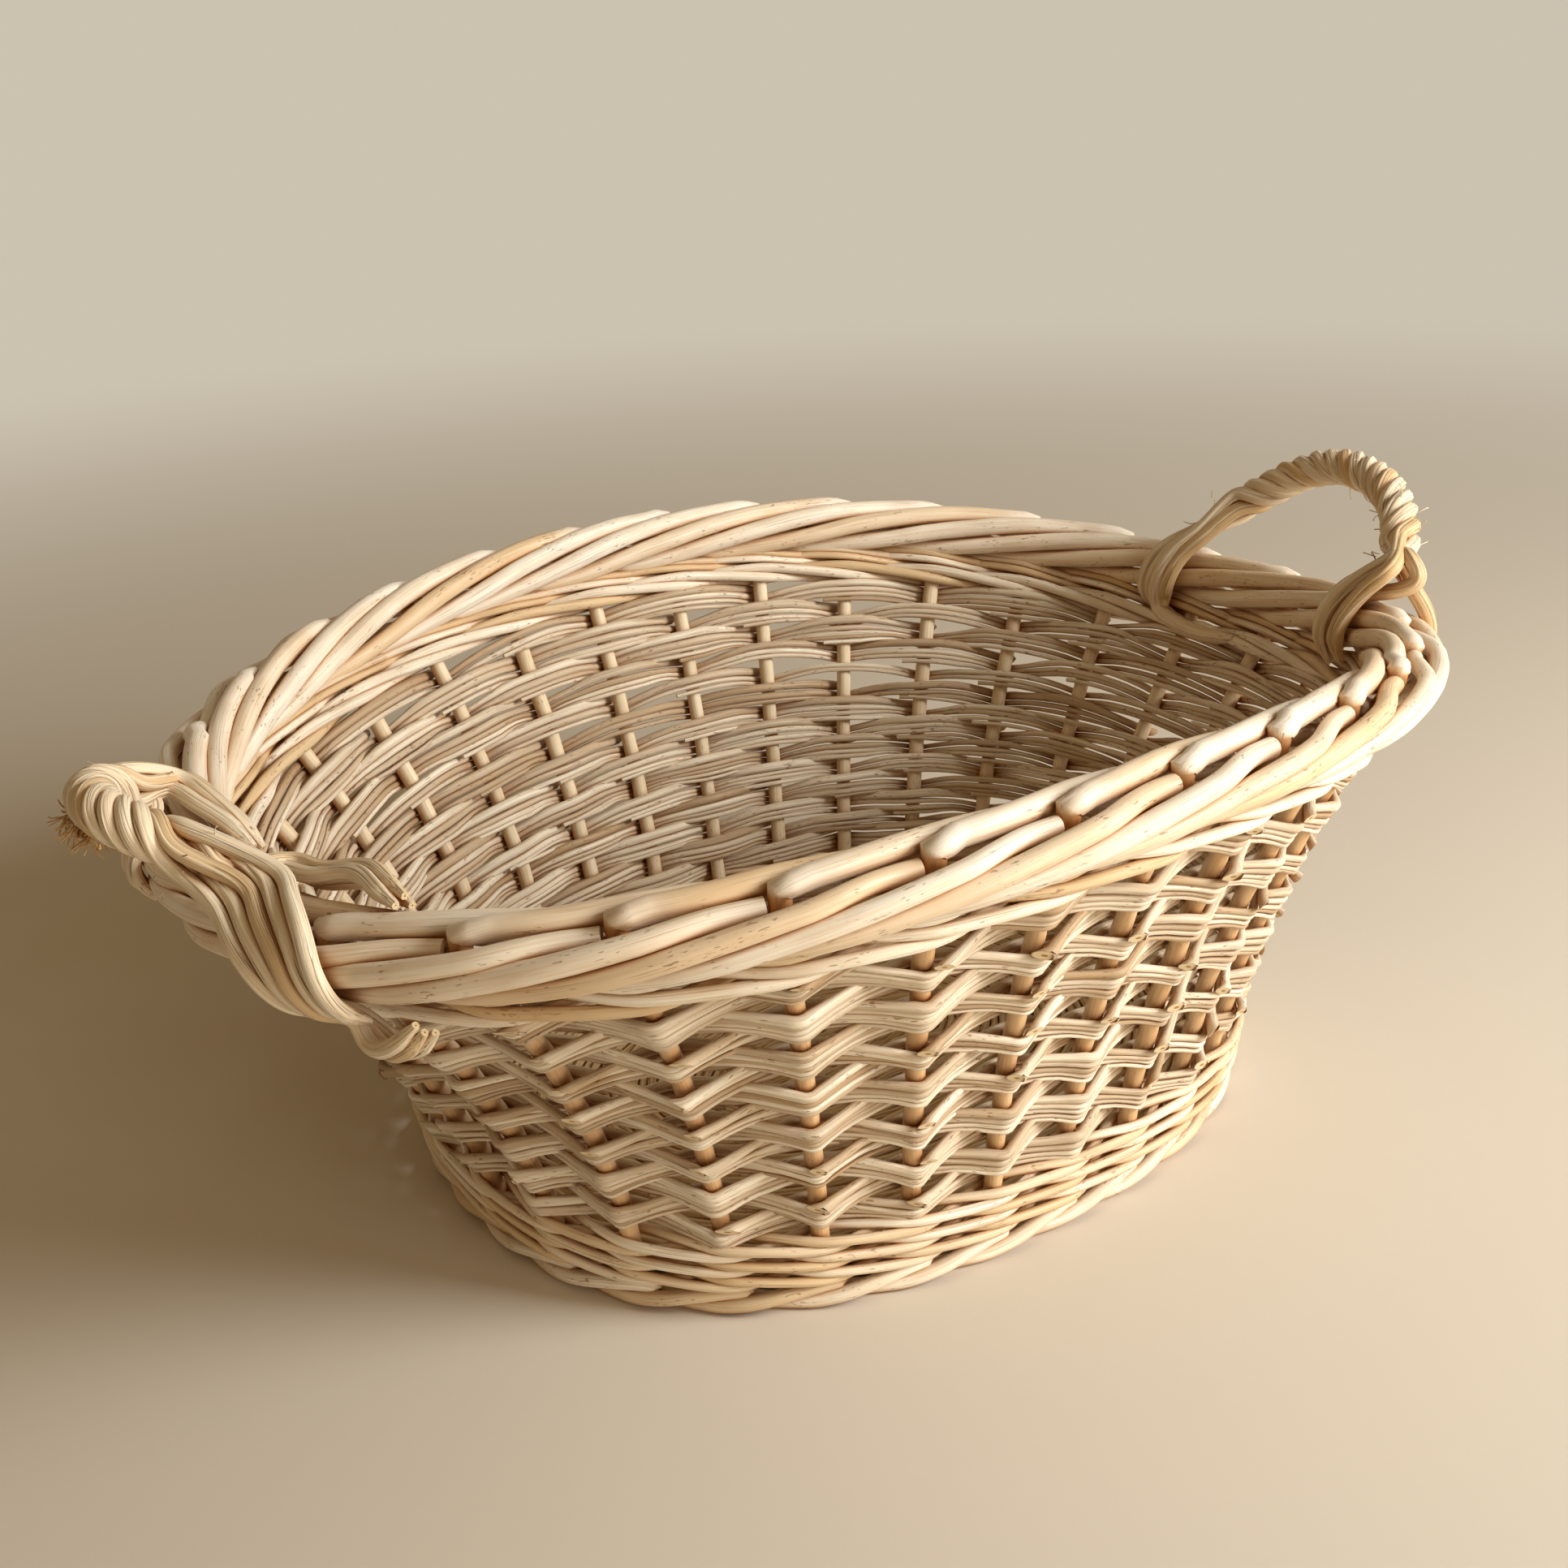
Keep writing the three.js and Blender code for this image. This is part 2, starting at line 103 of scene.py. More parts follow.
def rod_tree():
    """The tree that sweeps a rod along each line: it reads girth, run, push and along there,
    and stores grain (a place inside the straight rod) and disc (a place on its section)."""
    tree = bpy.data.node_groups.new("rods along lines", "GeometryNodeTree")
    sockets = {"Lines": "Geometry", "Sides": "Int", "Wobble": "Float", "Seed": "Float",
               "Willow": "Material"}
    for label, kind in sockets.items():
        tree.interface.new_socket(label, in_out="INPUT", socket_type="NodeSocket" + kind)
    tree.interface.new_socket("Rods", in_out="OUTPUT", socket_type="NodeSocketGeometry")
    given = add(tree, "NodeGroupInput").outputs
    read = {}
    for name in ("girth", "run", "heart", "disc", "push", "along"):
        kind = "FLOAT" if name in ("girth", "run") else "FLOAT_VECTOR"
        node = add(tree, "GeometryNodeInputNamedAttribute", {"Name": name}, data_type=kind)
        read[name] = node.outputs["Attribute"]
    vectors = {"data_type": "FLOAT_VECTOR", "domain": "POINT"}
    here = add(tree, "GeometryNodeInputPosition")

    # A round section is swept along each line; it swells and thins about every 17 mm.
    lines = add(tree, "GeometryNodeMeshToCurve", {"Mesh": given["Lines"]})
    lines = add(tree, "GeometryNodeStoreNamedAttribute", {
        "Geometry": lines, "Name": "heart", "Value": here}, **vectors)
    section = add(tree, "GeometryNodeCurvePrimitiveCircle", {"Resolution": given["Sides"]})
    section = add(tree, "GeometryNodeStoreNamedAttribute", {
        "Geometry": section, "Name": "disc", "Value": here}, **vectors)
    spot = add(tree, "ShaderNodeCombineXYZ", {"X": read["run"], "Y": given["Seed"]})
    noise = add(tree, "ShaderNodeTexNoise", {"Vector": spot, "Scale": 60.0, "Detail": 1.0})
    swing = add(tree, "ShaderNodeMath", {0: noise, 1: 0.5}, operation="SUBTRACT")
    swing = add(tree, "ShaderNodeMath", {0: swing, 1: given["Wobble"]}, operation="MULTIPLY")
    swing = add(tree, "ShaderNodeMath", {0: swing, 1: 1.0}, operation="ADD")
    thick = add(tree, "ShaderNodeMath", {0: read["girth"], 1: swing}, operation="MULTIPLY")
    swept = add(tree, "GeometryNodeCurveToMesh", {
        "Curve": lines, "Profile Curve": section, "Scale": thick, "Fill Caps": True})

    # A slanting cut: the further its points lie aside, the more they are pushed along the rod.
    reach = add(tree, "ShaderNodeVectorMath", {0: here, 1: read["heart"]}, operation="SUBTRACT")
    share = add(tree, "ShaderNodeVectorMath", {0: reach, 1: read["along"]},
                operation="DOT_PRODUCT").outputs["Value"]
    shove = add(tree, "ShaderNodeVectorMath", {0: read["push"], "Scale": share},
                operation="SCALE")
    rods = add(tree, "GeometryNodeSetPosition", {"Geometry": swept, "Offset": shove})

    # The grain: where each point would lie if the rod were straight.
    side = add(tree, "ShaderNodeVectorMath", {0: read["disc"], "Scale": read["girth"]},
               operation="SCALE")
    side = add(tree, "ShaderNodeSeparateXYZ", {0: side}).outputs
    grain = add(tree, "ShaderNodeCombineXYZ", {"X": read["run"], "Y": side["X"], "Z": side["Y"]})
    rods = add(tree, "GeometryNodeStoreNamedAttribute", {
        "Geometry": rods, "Name": "grain", "Value": grain}, **vectors)

    # The skin is smooth, and the rim of a cut stays sharp.
    rods = add(tree, "GeometryNodeSetShadeSmooth", {
        "Geometry": rods, "Shade Smooth": True}, domain="FACE")
    angle = add(tree, "GeometryNodeInputMeshEdgeAngle").outputs["Unsigned Angle"]
    sharp = add(tree, "ShaderNodeMath", {0: angle, 1: math.radians(66)},
                operation="GREATER_THAN")
    rods = add(tree, "GeometryNodeSetShadeSmooth", {
        "Geometry": rods, "Selection": sharp, "Shade Smooth": False}, domain="EDGE")
    rods = add(tree, "GeometryNodeRealizeInstances", {"Geometry": rods})
    rods = add(tree, "GeometryNodeSetMaterial", {"Geometry": rods, "Material": given["Willow"]})
    add(tree, "NodeGroupOutput", {"Rods": rods})
    return tree


ROD_TREE = rod_tree()
GRAIN_STARTS = 4000
chance = np.random.default_rng(30)


def rod(line, girth, tone=None, shade_and_crush=0.0, closed=False, cut=None, round_end=False):
    """One rod: its line in millimetres, its radius along it, how dark its wood is, and where
    painted shade (above 0) or the white of a crushed fold (below 0) lies on it. cut slants its
    first end, so that its face turns towards that vector, the steeper the longer it is; round_end
    rounds the last end."""
    line = np.asarray(line, float)
    count = len(line)
    girth = np.broadcast_to(np.asarray(girth, float), count).copy()
    steps = np.linalg.norm(np.diff(line, axis=0), axis=1)
    run = np.concatenate([[0], np.cumsum(steps)])
    push, along = np.zeros((count, 3)), np.zeros((count, 3))
    if cut is not None:
        cut = np.asarray(cut, float)
        ahead = unit(line[1] - line[0])
        aside = cut - ahead * (cut @ ahead)
        push[0] = ahead * np.linalg.norm(cut)
        along[0] = unit(aside)
    if round_end:
        left = run[-1] - run
        girth = girth * np.sqrt(np.clip(1 - (1 - np.clip(left / girth, 0, 1)) ** 2, 0.05, 1))
    tone = chance.random() if tone is None else tone
    run = run + chance.uniform(0, GRAIN_STARTS)
    return {"line": line, "girth": girth, "run": run, "tone": tone,
            "shade_and_crush": np.broadcast_to(np.asarray(shade_and_crush, float), count), "closed": closed,
            "push": push, "along": along}


def sweep(name, rods, willow, sides=8, wobble=0.08, seed=1.0):
    """A piece made of rods: their lines as edges, swept by the tree and made a plain mesh."""
    lines = bpy.data.meshes.new(name)
    edges, start = [], 0
    for one in rods:
        count = len(one["line"])
        edges += [(start + i, start + i + 1) for i in range(count - 1)]
        if one["closed"]:
            edges.append((start + count - 1, start))
        start += count
    points = np.concatenate([one["line"] for one in rods]) + [MIDDLE_X, 0, 0]
    lines.from_pydata((points / 1000).tolist(), edges, [])
    for key, scale in (("girth", 0.001), ("run", 0.001), ("shade_and_crush", 1.0)):
        values = np.concatenate([one[key] for one in rods]) * scale
        lines.attributes.new(key, "FLOAT", "POINT").data.foreach_set("value", values)
    tones = np.concatenate([np.full(len(one["line"]), one["tone"]) for one in rods])
    lines.attributes.new("tone", "FLOAT", "POINT").data.foreach_set("value", tones)
    for key in ("push", "along"):
        values = np.concatenate([one[key] for one in rods]).ravel()
        lines.attributes.new(key, "FLOAT_VECTOR", "POINT").data.foreach_set("vector", values)
    piece = bpy.data.objects.new(name, lines)
    bpy.context.scene.collection.objects.link(piece)
    modifier = piece.modifiers.new("rods", "NODES")
    modifier.node_group = ROD_TREE
    given = {"Sides": sides, "Wobble": wobble, "Seed": seed, "Willow": willow}
    for item in ROD_TREE.interface.items_tree:
        if item.in_out == "INPUT" and item.name in given:
            modifier[item.identifier] = given[item.name]
    graph = bpy.context.evaluated_depsgraph_get()
    mesh = bpy.data.meshes.new_from_object(piece.evaluated_get(graph))
    piece.modifiers.clear()
    piece.data = mesh
    bpy.data.meshes.remove(lines)
    mesh.name = name
    for key in ("heart", "push", "along", "girth", "run"):
        if key in mesh.attributes:
            mesh.attributes.remove(mesh.attributes[key])
    return piece


def stand_for(piece, nodes):
    """The piece moves with the basket and takes the place of its CAD nodes."""
    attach(piece, "root")
    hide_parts(*nodes)


def peeled_willow(name, pale, dark, speck, fibre, roughness):
    """Peeled and dried willow: a silky cream skin, some rods browner than others, streaked and
    cracked along the grain, with short brown specks where buds sat. Painted shade tints it where
    it lies close among other rods and where a rod is marked for painted shade, and it is white
    where a fold has crushed it; a cut shows the pith."""
    material = bpy.data.materials.new(name)
    material.use_nodes = True
    tree = material.node_tree
    tree.nodes.clear()
    read = {}
    for key in ("grain", "tone", "shade_and_crush", "disc"):
        read[key] = add(tree, "ShaderNodeAttribute", attribute_name=key).outputs
    tone, shade_and_crush = read["tone"]["Fac"], read["shade_and_crush"]["Fac"]

    def fibres(along, across, detail):
        """Noise whose features are as long and as wide as given, in mm of the straight rod."""
        scale = (1000 / along, 1000 / across, 1000 / across)
        spot = add(tree, "ShaderNodeVectorMath", {0: read["grain"]["Vector"], 1: scale},
                   operation="MULTIPLY")
        return add(tree, "ShaderNodeTexNoise", {"Vector": spot, "Scale": 1.0, "Detail": detail})

    def marks(along, across, detail, none, full):
        """Marks as long and as wide as given: 0 up to one level of that noise, 1 from another."""
        return add(tree, "ShaderNodeMapRange", {
            "Value": fibres(along, across, detail), "From Min": none, "From Max": full})

    streak = marks(70, 1.1, 4.0, 0.36, 0.68)
    cloud = marks(24, 6, 2.0, 0.42, 0.7)
    old = add(tree, "ShaderNodeMath", {0: tone, 1: 2.0}, operation="POWER")
    crack = add(tree, "ShaderNodeMath", {
        0: marks(55, 0.45, 2.0, 0.585, 0.66), 1: marks(30, 9, 1.0, 0.42, 0.56)},
        operation="MULTIPLY")
    fleck = add(tree, "ShaderNodeMath", {
        0: marks(4.2, 1.0, 1.0, 0.64, 0.68), 1: marks(18, 9, 1.0, 0.51, 0.6)},
        operation="MULTIPLY")
    fleck = add(tree, "ShaderNodeMath", {0: fleck, 1: speck}, operation="MULTIPLY")

    # Over the pale wood lie streaks, the brown of an old rod, tan clouds, cracks, specks, painted
    # shade in amber (mark above 0) and the white of a crushed fold (mark below 0).
    layers = [(streak, 0.4, dark), (old, 0.75, dark), (cloud, 0.22, "#bb8f50"),
              (crack, fibre, "#7c5a30"), (fleck, 1.0, "#7a4f26"), (shade_and_crush, 0.85, "#c98f40"),
              (shade_and_crush, -1.0, "#fbf7ee")]
    body = linear(pale)
    for amount, strength, colour in layers:
        share = add(tree, "ShaderNodeMath", {0: amount, 1: strength}, operation="MULTIPLY",
                    use_clamp=True)
        body = add(tree, "ShaderNodeMix", {0: share, 6: body, 7: linear(colour)},
                   data_type="RGBA").outputs[2]

    # Painted shade: wood that has other rods within 11 mm of it is darkened to amber, where shade
    # falls between the rods.
    open_air = add(tree, "ShaderNodeAmbientOcclusion", {"Distance": 0.011}, samples=4)
    painted_crevice_shade = add(tree, "ShaderNodeMapRange", {
        "Value": open_air.outputs["AO"], "From Min": 0.66, "From Max": 0.1})
    body = add(tree, "ShaderNodeMix", {0: painted_crevice_shade, 6: body, 7: linear("#c68c36")},
               data_type="RGBA", blend_type="MULTIPLY").outputs[2]

    # A cut face is pale wood round a brown pith: disc is 1 long at the skin, 0 in the middle.
    radius = add(tree, "ShaderNodeVectorMath", {0: read["disc"]["Vector"]},
                 operation="LENGTH").outputs["Value"]
    for outside, inside, colour in ((0.9, 0.84, "#e8d3ab"), (0.3, 0.22, "#a97f4a")):
        face = add(tree, "ShaderNodeMapRange", {
            "Value": radius, "From Min": outside, "From Max": inside})
        body = add(tree, "ShaderNodeMix", {0: face, 6: body, 7: linear(colour)},
                   data_type="RGBA").outputs[2]

    # Fine fibres stand up from the skin, and specks and cracks are sunk in it.
    sunk = add(tree, "ShaderNodeMath", {0: fleck, 1: crack}, operation="ADD")
    relief = add(tree, "ShaderNodeMath", {0: fibres(40, 0.5, 3.0), 1: sunk},
                 operation="SUBTRACT")
    bump = add(tree, "ShaderNodeBump", {"Height": relief, "Strength": fibre, "Distance": 0.0004})
    gloss = add(tree, "ShaderNodeMapRange", {
        "Value": streak, "To Min": roughness - 0.05, "To Max": roughness + 0.14})
    shader = add(tree, "ShaderNodeBsdfPrincipled", {
        "Base Color": body, "Roughness": gloss, "Normal": bump, "IOR": 1.45})
    add(tree, "ShaderNodeOutputMaterial", {"Surface": shader})
    return material


def straight(start, end):
    """A straight line of fourteen points."""
    return np.linspace(start, end, 14)


def stick_reach(offset, along, across):
    """Half the length of a stick at an offset from the middle of the foot's oval."""
    inside = 1 - (abs(offset) / (across - OVAL_NARROW)) ** FOOT["power"]
    return (along - STICK_SHORT) * inside ** (1 / FOOT["power"])


# Old rods, dried hard: tan, matt and cracked.
dry_stick = peeled_willow("peeled willow of the base", "#dcc59b", "#a98553", 0.5, 0.5, 0.6)
sticks = []
for offset in (-24.0, 0.0, 24.0):
    reach = stick_reach(offset, FOOT["half_length"], FOOT["half_width"])
    ends = [(-reach, offset, STICK_HEIGHT), (reach, offset, STICK_HEIGHT)]
    sticks.append(rod(straight(*ends), LONG_STICK_RADIUS))
for offset in (-93.0, -31.0, 31.0, 93.0):
    reach = stick_reach(offset, FOOT["half_width"], FOOT["half_length"])
    ends = [(offset, -reach, STICK_HEIGHT), (offset, reach, STICK_HEIGHT)]
    sticks.append(rod(straight(*ends), CROSS_STICK_RADIUS))
base_sticks = sweep("base_sticks", sticks, dry_stick)
stick_nodes = [f"base_long_stick_{n}" for n in (1, 2, 3)]
stick_nodes += [f"base_cross_stick_{n}" for n in (1, 2, 3, 4)]
stand_for(base_sticks, stick_nodes)

# Base weave. Thin rods go round the sticks from the middle outwards, over one spoke and under
# the next, until they fill the foot.
STAKES = 30
ROUNDS, ROUND_POINTS = 36, 180
FIRST_INSET, PITCH = 9.0, 4.47
WEAVE_RADIUS, WEAVE_STRAY = 2.08, 0.25
WEAVE_HEIGHT, WEAVE_WAVE = 13.1, 0.7
SPOKE_RADIUS, SPOKE_HEIGHT = 1.5, 12.6
SPOKE_INSET = 148


def walk_round(half_length, half_width, power):
    """A function from shares of the way round an oval, anticlockwise from +X, to points."""
    angle = np.linspace(0, 2 * math.pi, 7201)
    x = half_length * np.sign(np.cos(angle)) * np.abs(np.cos(angle)) ** (2 / power)
    y = half_width * np.sign(np.sin(angle)) * np.abs(np.sin(angle)) ** (2 / power)
    way = np.concatenate([[0], np.cumsum(np.hypot(np.diff(x), np.diff(y)))])
    way /= way[-1]

    def place(share):
        share = np.mod(share, 1)
        return np.stack([np.interp(share, way, x), np.interp(share, way, y)], -1)

    return place


def inside_foot(inset):
    """The way round the foot's oval, drawn in by an inset."""
    return walk_round(FOOT["half_length"] - inset, FOOT["half_width"] - inset, FOOT["power"])


foot_round = walk_round(**FOOT)
rounds = []
for turn in range(ROUNDS):
    share = np.arange(ROUND_POINTS) / ROUND_POINTS
    wave = np.cos(2 * math.pi * share * (STAKES / 2) + math.pi * (turn % 2))
    height = WEAVE_HEIGHT + WEAVE_WAVE * wave
    ring = inside_foot(FIRST_INSET + turn * PITCH)
    line = np.concatenate([ring(share), height[:, None]], -1)
    rounds.append(rod(line, WEAVE_RADIUS + WEAVE_STRAY * chance.random(), closed=True))
innermost = inside_foot(SPOKE_INSET)
for spoke in range(STAKES):
    share = (spoke + 0.5) / STAKES
    start = np.append(foot_round(share) * 0.95, SPOKE_HEIGHT)
    end = np.append(innermost(share), SPOKE_HEIGHT)
    rounds.append(rod(straight(start, end), SPOKE_RADIUS))
base_weave = sweep("base_weave_rods", rounds, dry_stick, sides=6)
stand_for(base_weave, ["base_weave"])

# Stakes. Thirty peeled rods stand up from the foot and carry the weave; they lean out more
# and more towards the rim.
STAKE_RADIUS = 4.3
STAKE_FOOT = FOOT_RADIUS * (1 + math.sin(math.pi * 3 / 8)) + 0.4
STAKE_POINTS = 40
RIM = {"half_length": 302.0, "half_width": 230.0, "power": 2.2}
RIM_HEIGHT = 217.0
RIM_DIP = 17.0
FLARE = 1.65
BORDER_HALF_HEIGHT = 16.5
NEARBY = 0.002
rim_round = walk_round(**RIM)


def rim_points(share):
    """Points of the border's centre line, lowest at the handles."""
    flat = rim_round(share)
    across = (flat[..., 0] / RIM["half_length"]) ** 2
    along = (flat[..., 1] / RIM["half_width"]) ** 2
    height = RIM_HEIGHT - RIM_DIP * (across - along) / (across + along)
    return np.concatenate([flat, height[..., None]], -1)


def wall_points(share, height):
    """Points of the wall's middle surface at a height."""
    foot, rim = foot_round(share), rim_points(share)
    rise = (height - FOOT_RADIUS) / (rim[..., 2] - FOOT_RADIUS)
    lean = np.maximum(rise, 0) ** FLARE
    flat = foot + (rim[..., :2] - foot) * lean[..., None]
    return np.concatenate([flat, np.broadcast_to(height, lean.shape)[..., None]], -1)


def wall_frame(share, height):
    """Unit vectors up along the wall and out of it, at points of its middle surface."""
    round_it = wall_points(share + NEARBY, height) - wall_points(share - NEARBY, height)
    up = unit(wall_points(share, height + 1) - wall_points(share, height - 1))
    return up, unit(np.cross(round_it, up))


# Thick rods with few marks: cream with a little tan, and a soft sheen.
stake_willow = peeled_willow("peeled willow of the stakes", "#f3e7cc", "#cda66a", 0.35, 0.3, 0.5)
stakes = []
for number in range(STAKES):
    share = (number + 0.5) / STAKES
    top = rim_points(np.array(share))[2] - BORDER_HALF_HEIGHT + 1.5
    share = np.full(STAKE_POINTS, share)
    heights = np.linspace(STAKE_FOOT - 6, top, STAKE_POINTS)
    line = wall_points(share, heights)
    wander = 0.5 * np.sin(heights / 7 + chance.uniform(0, 6))
    up, out = wall_frame(share, heights)
    line = line + out * wander[:, None]
    girth = STAKE_RADIUS * chance.uniform(0.93, 1.02)
    stakes.append(rod(line, girth, tone=0.5 * chance.random()))
stake_piece = sweep("stakes", stakes, stake_willow, sides=12)

# Painted shade: their outer faces, shut in between the bands of the wall, are painted amber where
# shade falls there.
STAKE_SHADE_LEVEL = 0.62
count = len(stake_piece.data.vertices)
spots, normals = np.empty(count * 3), np.empty(count * 3)
stake_piece.data.vertices.foreach_get("co", spots)
stake_piece.data.vertices.foreach_get("normal", normals)
spots = spots.reshape(-1, 3)[:, :2] - [MIDDLE_X / 1000, 0]
outwards = unit(spots / [RIM["half_length"] ** 2, RIM["half_width"] ** 2])
facing = (normals.reshape(-1, 3)[:, :2] * outwards).sum(1)
stake_shade = STAKE_SHADE_LEVEL * np.clip((facing + 0.25) / 0.6, 0, 1)
stake_piece.data.attributes["shade_and_crush"].data.foreach_set("value", stake_shade)
stand_for(stake_piece, [f"stake_{n + 1:02d}" for n in range(STAKES)])

# Foot border. The basket stands on the lower ends of its stakes, bent under the edge and
# round it like a rope; each end climbs the outer face to the right and is tucked in.


def level_out(place, share):
    """Level unit vectors away from the middle of an oval."""
    step = place(share + NEARBY) - place(share - NEARBY)
    return unit(np.stack([step[..., 1], -step[..., 0], 0 * step[..., 0]], -1))


# The palest rods: cream white, with a few specks and a soft sheen.
wale_willow = peeled_willow("peeled willow of the wales", "#f9f3e4", "#d3b078", 0.6, 0.45, 0.5)

# From stake to stake, an end turns round the middle of the border by these angles (180 is
# inside, 270 under, 360 outside), at this distance from it.
FOOT_ROD_RADIUS = 3.7
steps = np.linspace(-0.3, 2.25, 34)
angle = np.radians(np.interp(steps, [-0.3, 0.3, 0.9, 1.6, 2.25], [150, 235, 300, 385, 440]))
reach = np.interp(steps, [-0.3, 0.2, 1.9, 2.25], [2.5, 4.3, 4.3, 2.2])
girth = FOOT_ROD_RADIUS * np.linspace(1.05, 0.9, len(steps))
foot_rods = []
for number in range(STAKES):
    share = (number + 0.5 + steps) / STAKES
    out = level_out(foot_round, share)
    line = np.concatenate([foot_round(share), np.full((len(steps), 1), FOOT_RADIUS)], -1)
    line = line + out * (reach * np.cos(angle))[:, None]
    line[:, 2] += reach * np.sin(angle)
    line[:, 2] = np.maximum(line[:, 2], girth + 0.05)
    foot_rods.append(rod(line, girth, round_end=True))
foot_piece = sweep("foot_border_rods", foot_rods, wale_willow, sides=10)
stand_for(foot_piece, ["foot_border"])

# Wales. Rods woven three or four together lock the stakes at the foot and under the rim; each
# passes in front of two stakes and behind one or two, one stake later than its neighbour.
WALE_TOP = 41.0
TOP_WALE_HEIGHT = 15.0
LOWER_ROWS, LOWER_RADIUS = 3, 2.25
ROD_GAP = 0.3


def waled(count, low, high, radius, pattern, shift=0.0):
    """The rods of one wale: pattern gives each step's side and height, from stake to stake."""
    rods = []
    for number in range(count):
        place = np.arange(STAKES * 10) / 10
        phase = np.mod(place - number + shift, count)
        side = np.interp(phase, pattern["at"], pattern["side"])
        lift = np.interp(phase, pattern["at"], pattern["lift"])
        share = (place + 0.5) / STAKES
        middle = (low(share) + high(share)) / 2
        up, out = wall_frame(share, middle)
        offset = side * (STAKE_RADIUS + radius + ROD_GAP)
        line = wall_points(share, middle) + out * offset[:, None]
        line = line + up * (lift * radius)[:, None]
        kernel = np.array([1, 2, 3, 2, 1]) / 9
        padded = np.concatenate([line[-2:], line, line[:2]])
        line = np.stack([np.convolve(padded[:, k], kernel, "valid") for k in range(3)], -1)
        rods.append(rod(line, radius, closed=True))
    return rods


TWO_FRONT_ONE_BACK = {
    "at": [0, 0.15, 1, 1.15, 1.5, 2, 2.5, 3],
    "side": [1, 1, 1, 0.9, 0, -1, 0, 1],
    "lift": [1, 0.8, -1, -1, -1, 0, 1, 1],
}
TWO_FRONT_TWO_BACK = {
    "at": [0, 1, 1.15, 1.5, 2, 3, 3.5, 4],
    "side": [1, 1, 0.9, 0, -1, -1, 0, 1],
    "lift": [1, -1, -1, -1, -1, 1, 1, 1],
}
PAIR = {"at": [0, 0.5, 1, 1.5, 2], "side": [1, 0, -1, 0, 1], "lift": [0, -1, 0, 1, 0]}


def level(height):
    """The same height all the way round."""
    return lambda share: np.full(np.shape(share), float(height))


lower_rods = []
for row in range(LOWER_ROWS):
    low = STAKE_FOOT + (WALE_TOP - STAKE_FOOT) * row / LOWER_ROWS
    high = STAKE_FOOT + (WALE_TOP - STAKE_FOOT) * (row + 1) / LOWER_ROWS
    lower_rods += waled(3, level(low), level(high), LOWER_RADIUS, TWO_FRONT_ONE_BACK, row * 1.0)
lower_piece = sweep("lower_wale_rods", lower_rods, wale_willow)
stand_for(lower_piece, ["lower_wale_outer", "lower_wale_inner"])


def under_border(drop):
    """A height below the top of the wall, which is tucked 1.1 mm into the border."""
    return lambda share: rim_points(share)[..., 2] - BORDER_HALF_HEIGHT + 1.1 - drop


# The top wale has four rods; two pairs of rods above it close the wall up to the border. Each
# row: its rods, its lower and upper edge below the top of the wall, its radius and pattern.
top_rods = []
for count, low, high, radius, pattern in (
        (4, TOP_WALE_HEIGHT, 4.6, 2.95, TWO_FRONT_TWO_BACK),
        (2, 4.6, 0.2, 2.3, PAIR),
        (2, 0.8, -3.0, 2.2, PAIR)):
    top_rods += waled(count, under_border(low), under_border(high), radius, pattern)
top_piece = sweep("top_wale_rods", top_rods, wale_willow)
stand_for(top_piece, ["top_wale_outer", "top_wale_inner"])

# Slewing. The wall is woven in bands of four or five thin rods laid together, in front of one
# stake and behind the next; each rod starts at a slant-cut butt on top of its band, thins
# towards its tip and runs out under younger rods.
COURSES = 14
BAND_GAP = 0.6
slew_low, slew_high = WALE_TOP + BAND_GAP, TOP_WALE_HEIGHT - BAND_GAP
BUTT, TIP, TAPER = 3.1, 1.1, 0.34
START_SPACING = (2.9, 3.9)
FADE = 0.8
FIT = (0.84, 1.16)
SAG, RISE = 2.0, 0.8
BUTT_OUT = 2.4

# Rods of many ages: cream beside brown, which stripes the wall.
slew_willow = peeled_willow("peeled willow of the slewing", "#f5edda", "#9a743f", 0.7, 0.45, 0.5)
EDGE_STRAY = 1.2
edge_stray = chance.uniform(-EDGE_STRAY, EDGE_STRAY, (COURSES + 1, STAKES))
edge_stray[[0, -1]] = 0

# The points of a band's line lie closest together at the stakes.
PLACE = (np.arange(STAKES)[:, None] + np.array(
    [0, 0.04, 0.09, 0.16, 0.28, 0.42, 0.56, 0.7, 0.82, 0.91, 0.96])).ravel()


def smooth(value):
    """Goes from 0 to 1 with a soft start and end."""
    value = np.clip(value, 0, 1)
    return value * value * (3 - 2 * value)


def edge_height(course):
    """The height between two bands, which strays a little from stake to stake."""
    share = (PLACE + 0.5) / STAKES
    high = under_border(slew_high)(share)
    before = np.floor(PLACE).astype(int)
    part = smooth(PLACE - before)
    stray = edge_stray[course][before] * (1 - part)
    stray = stray + edge_stray[course][(before + 1) % STAKES] * part
    return slew_low + (high - slew_low) * course / COURSES + stray


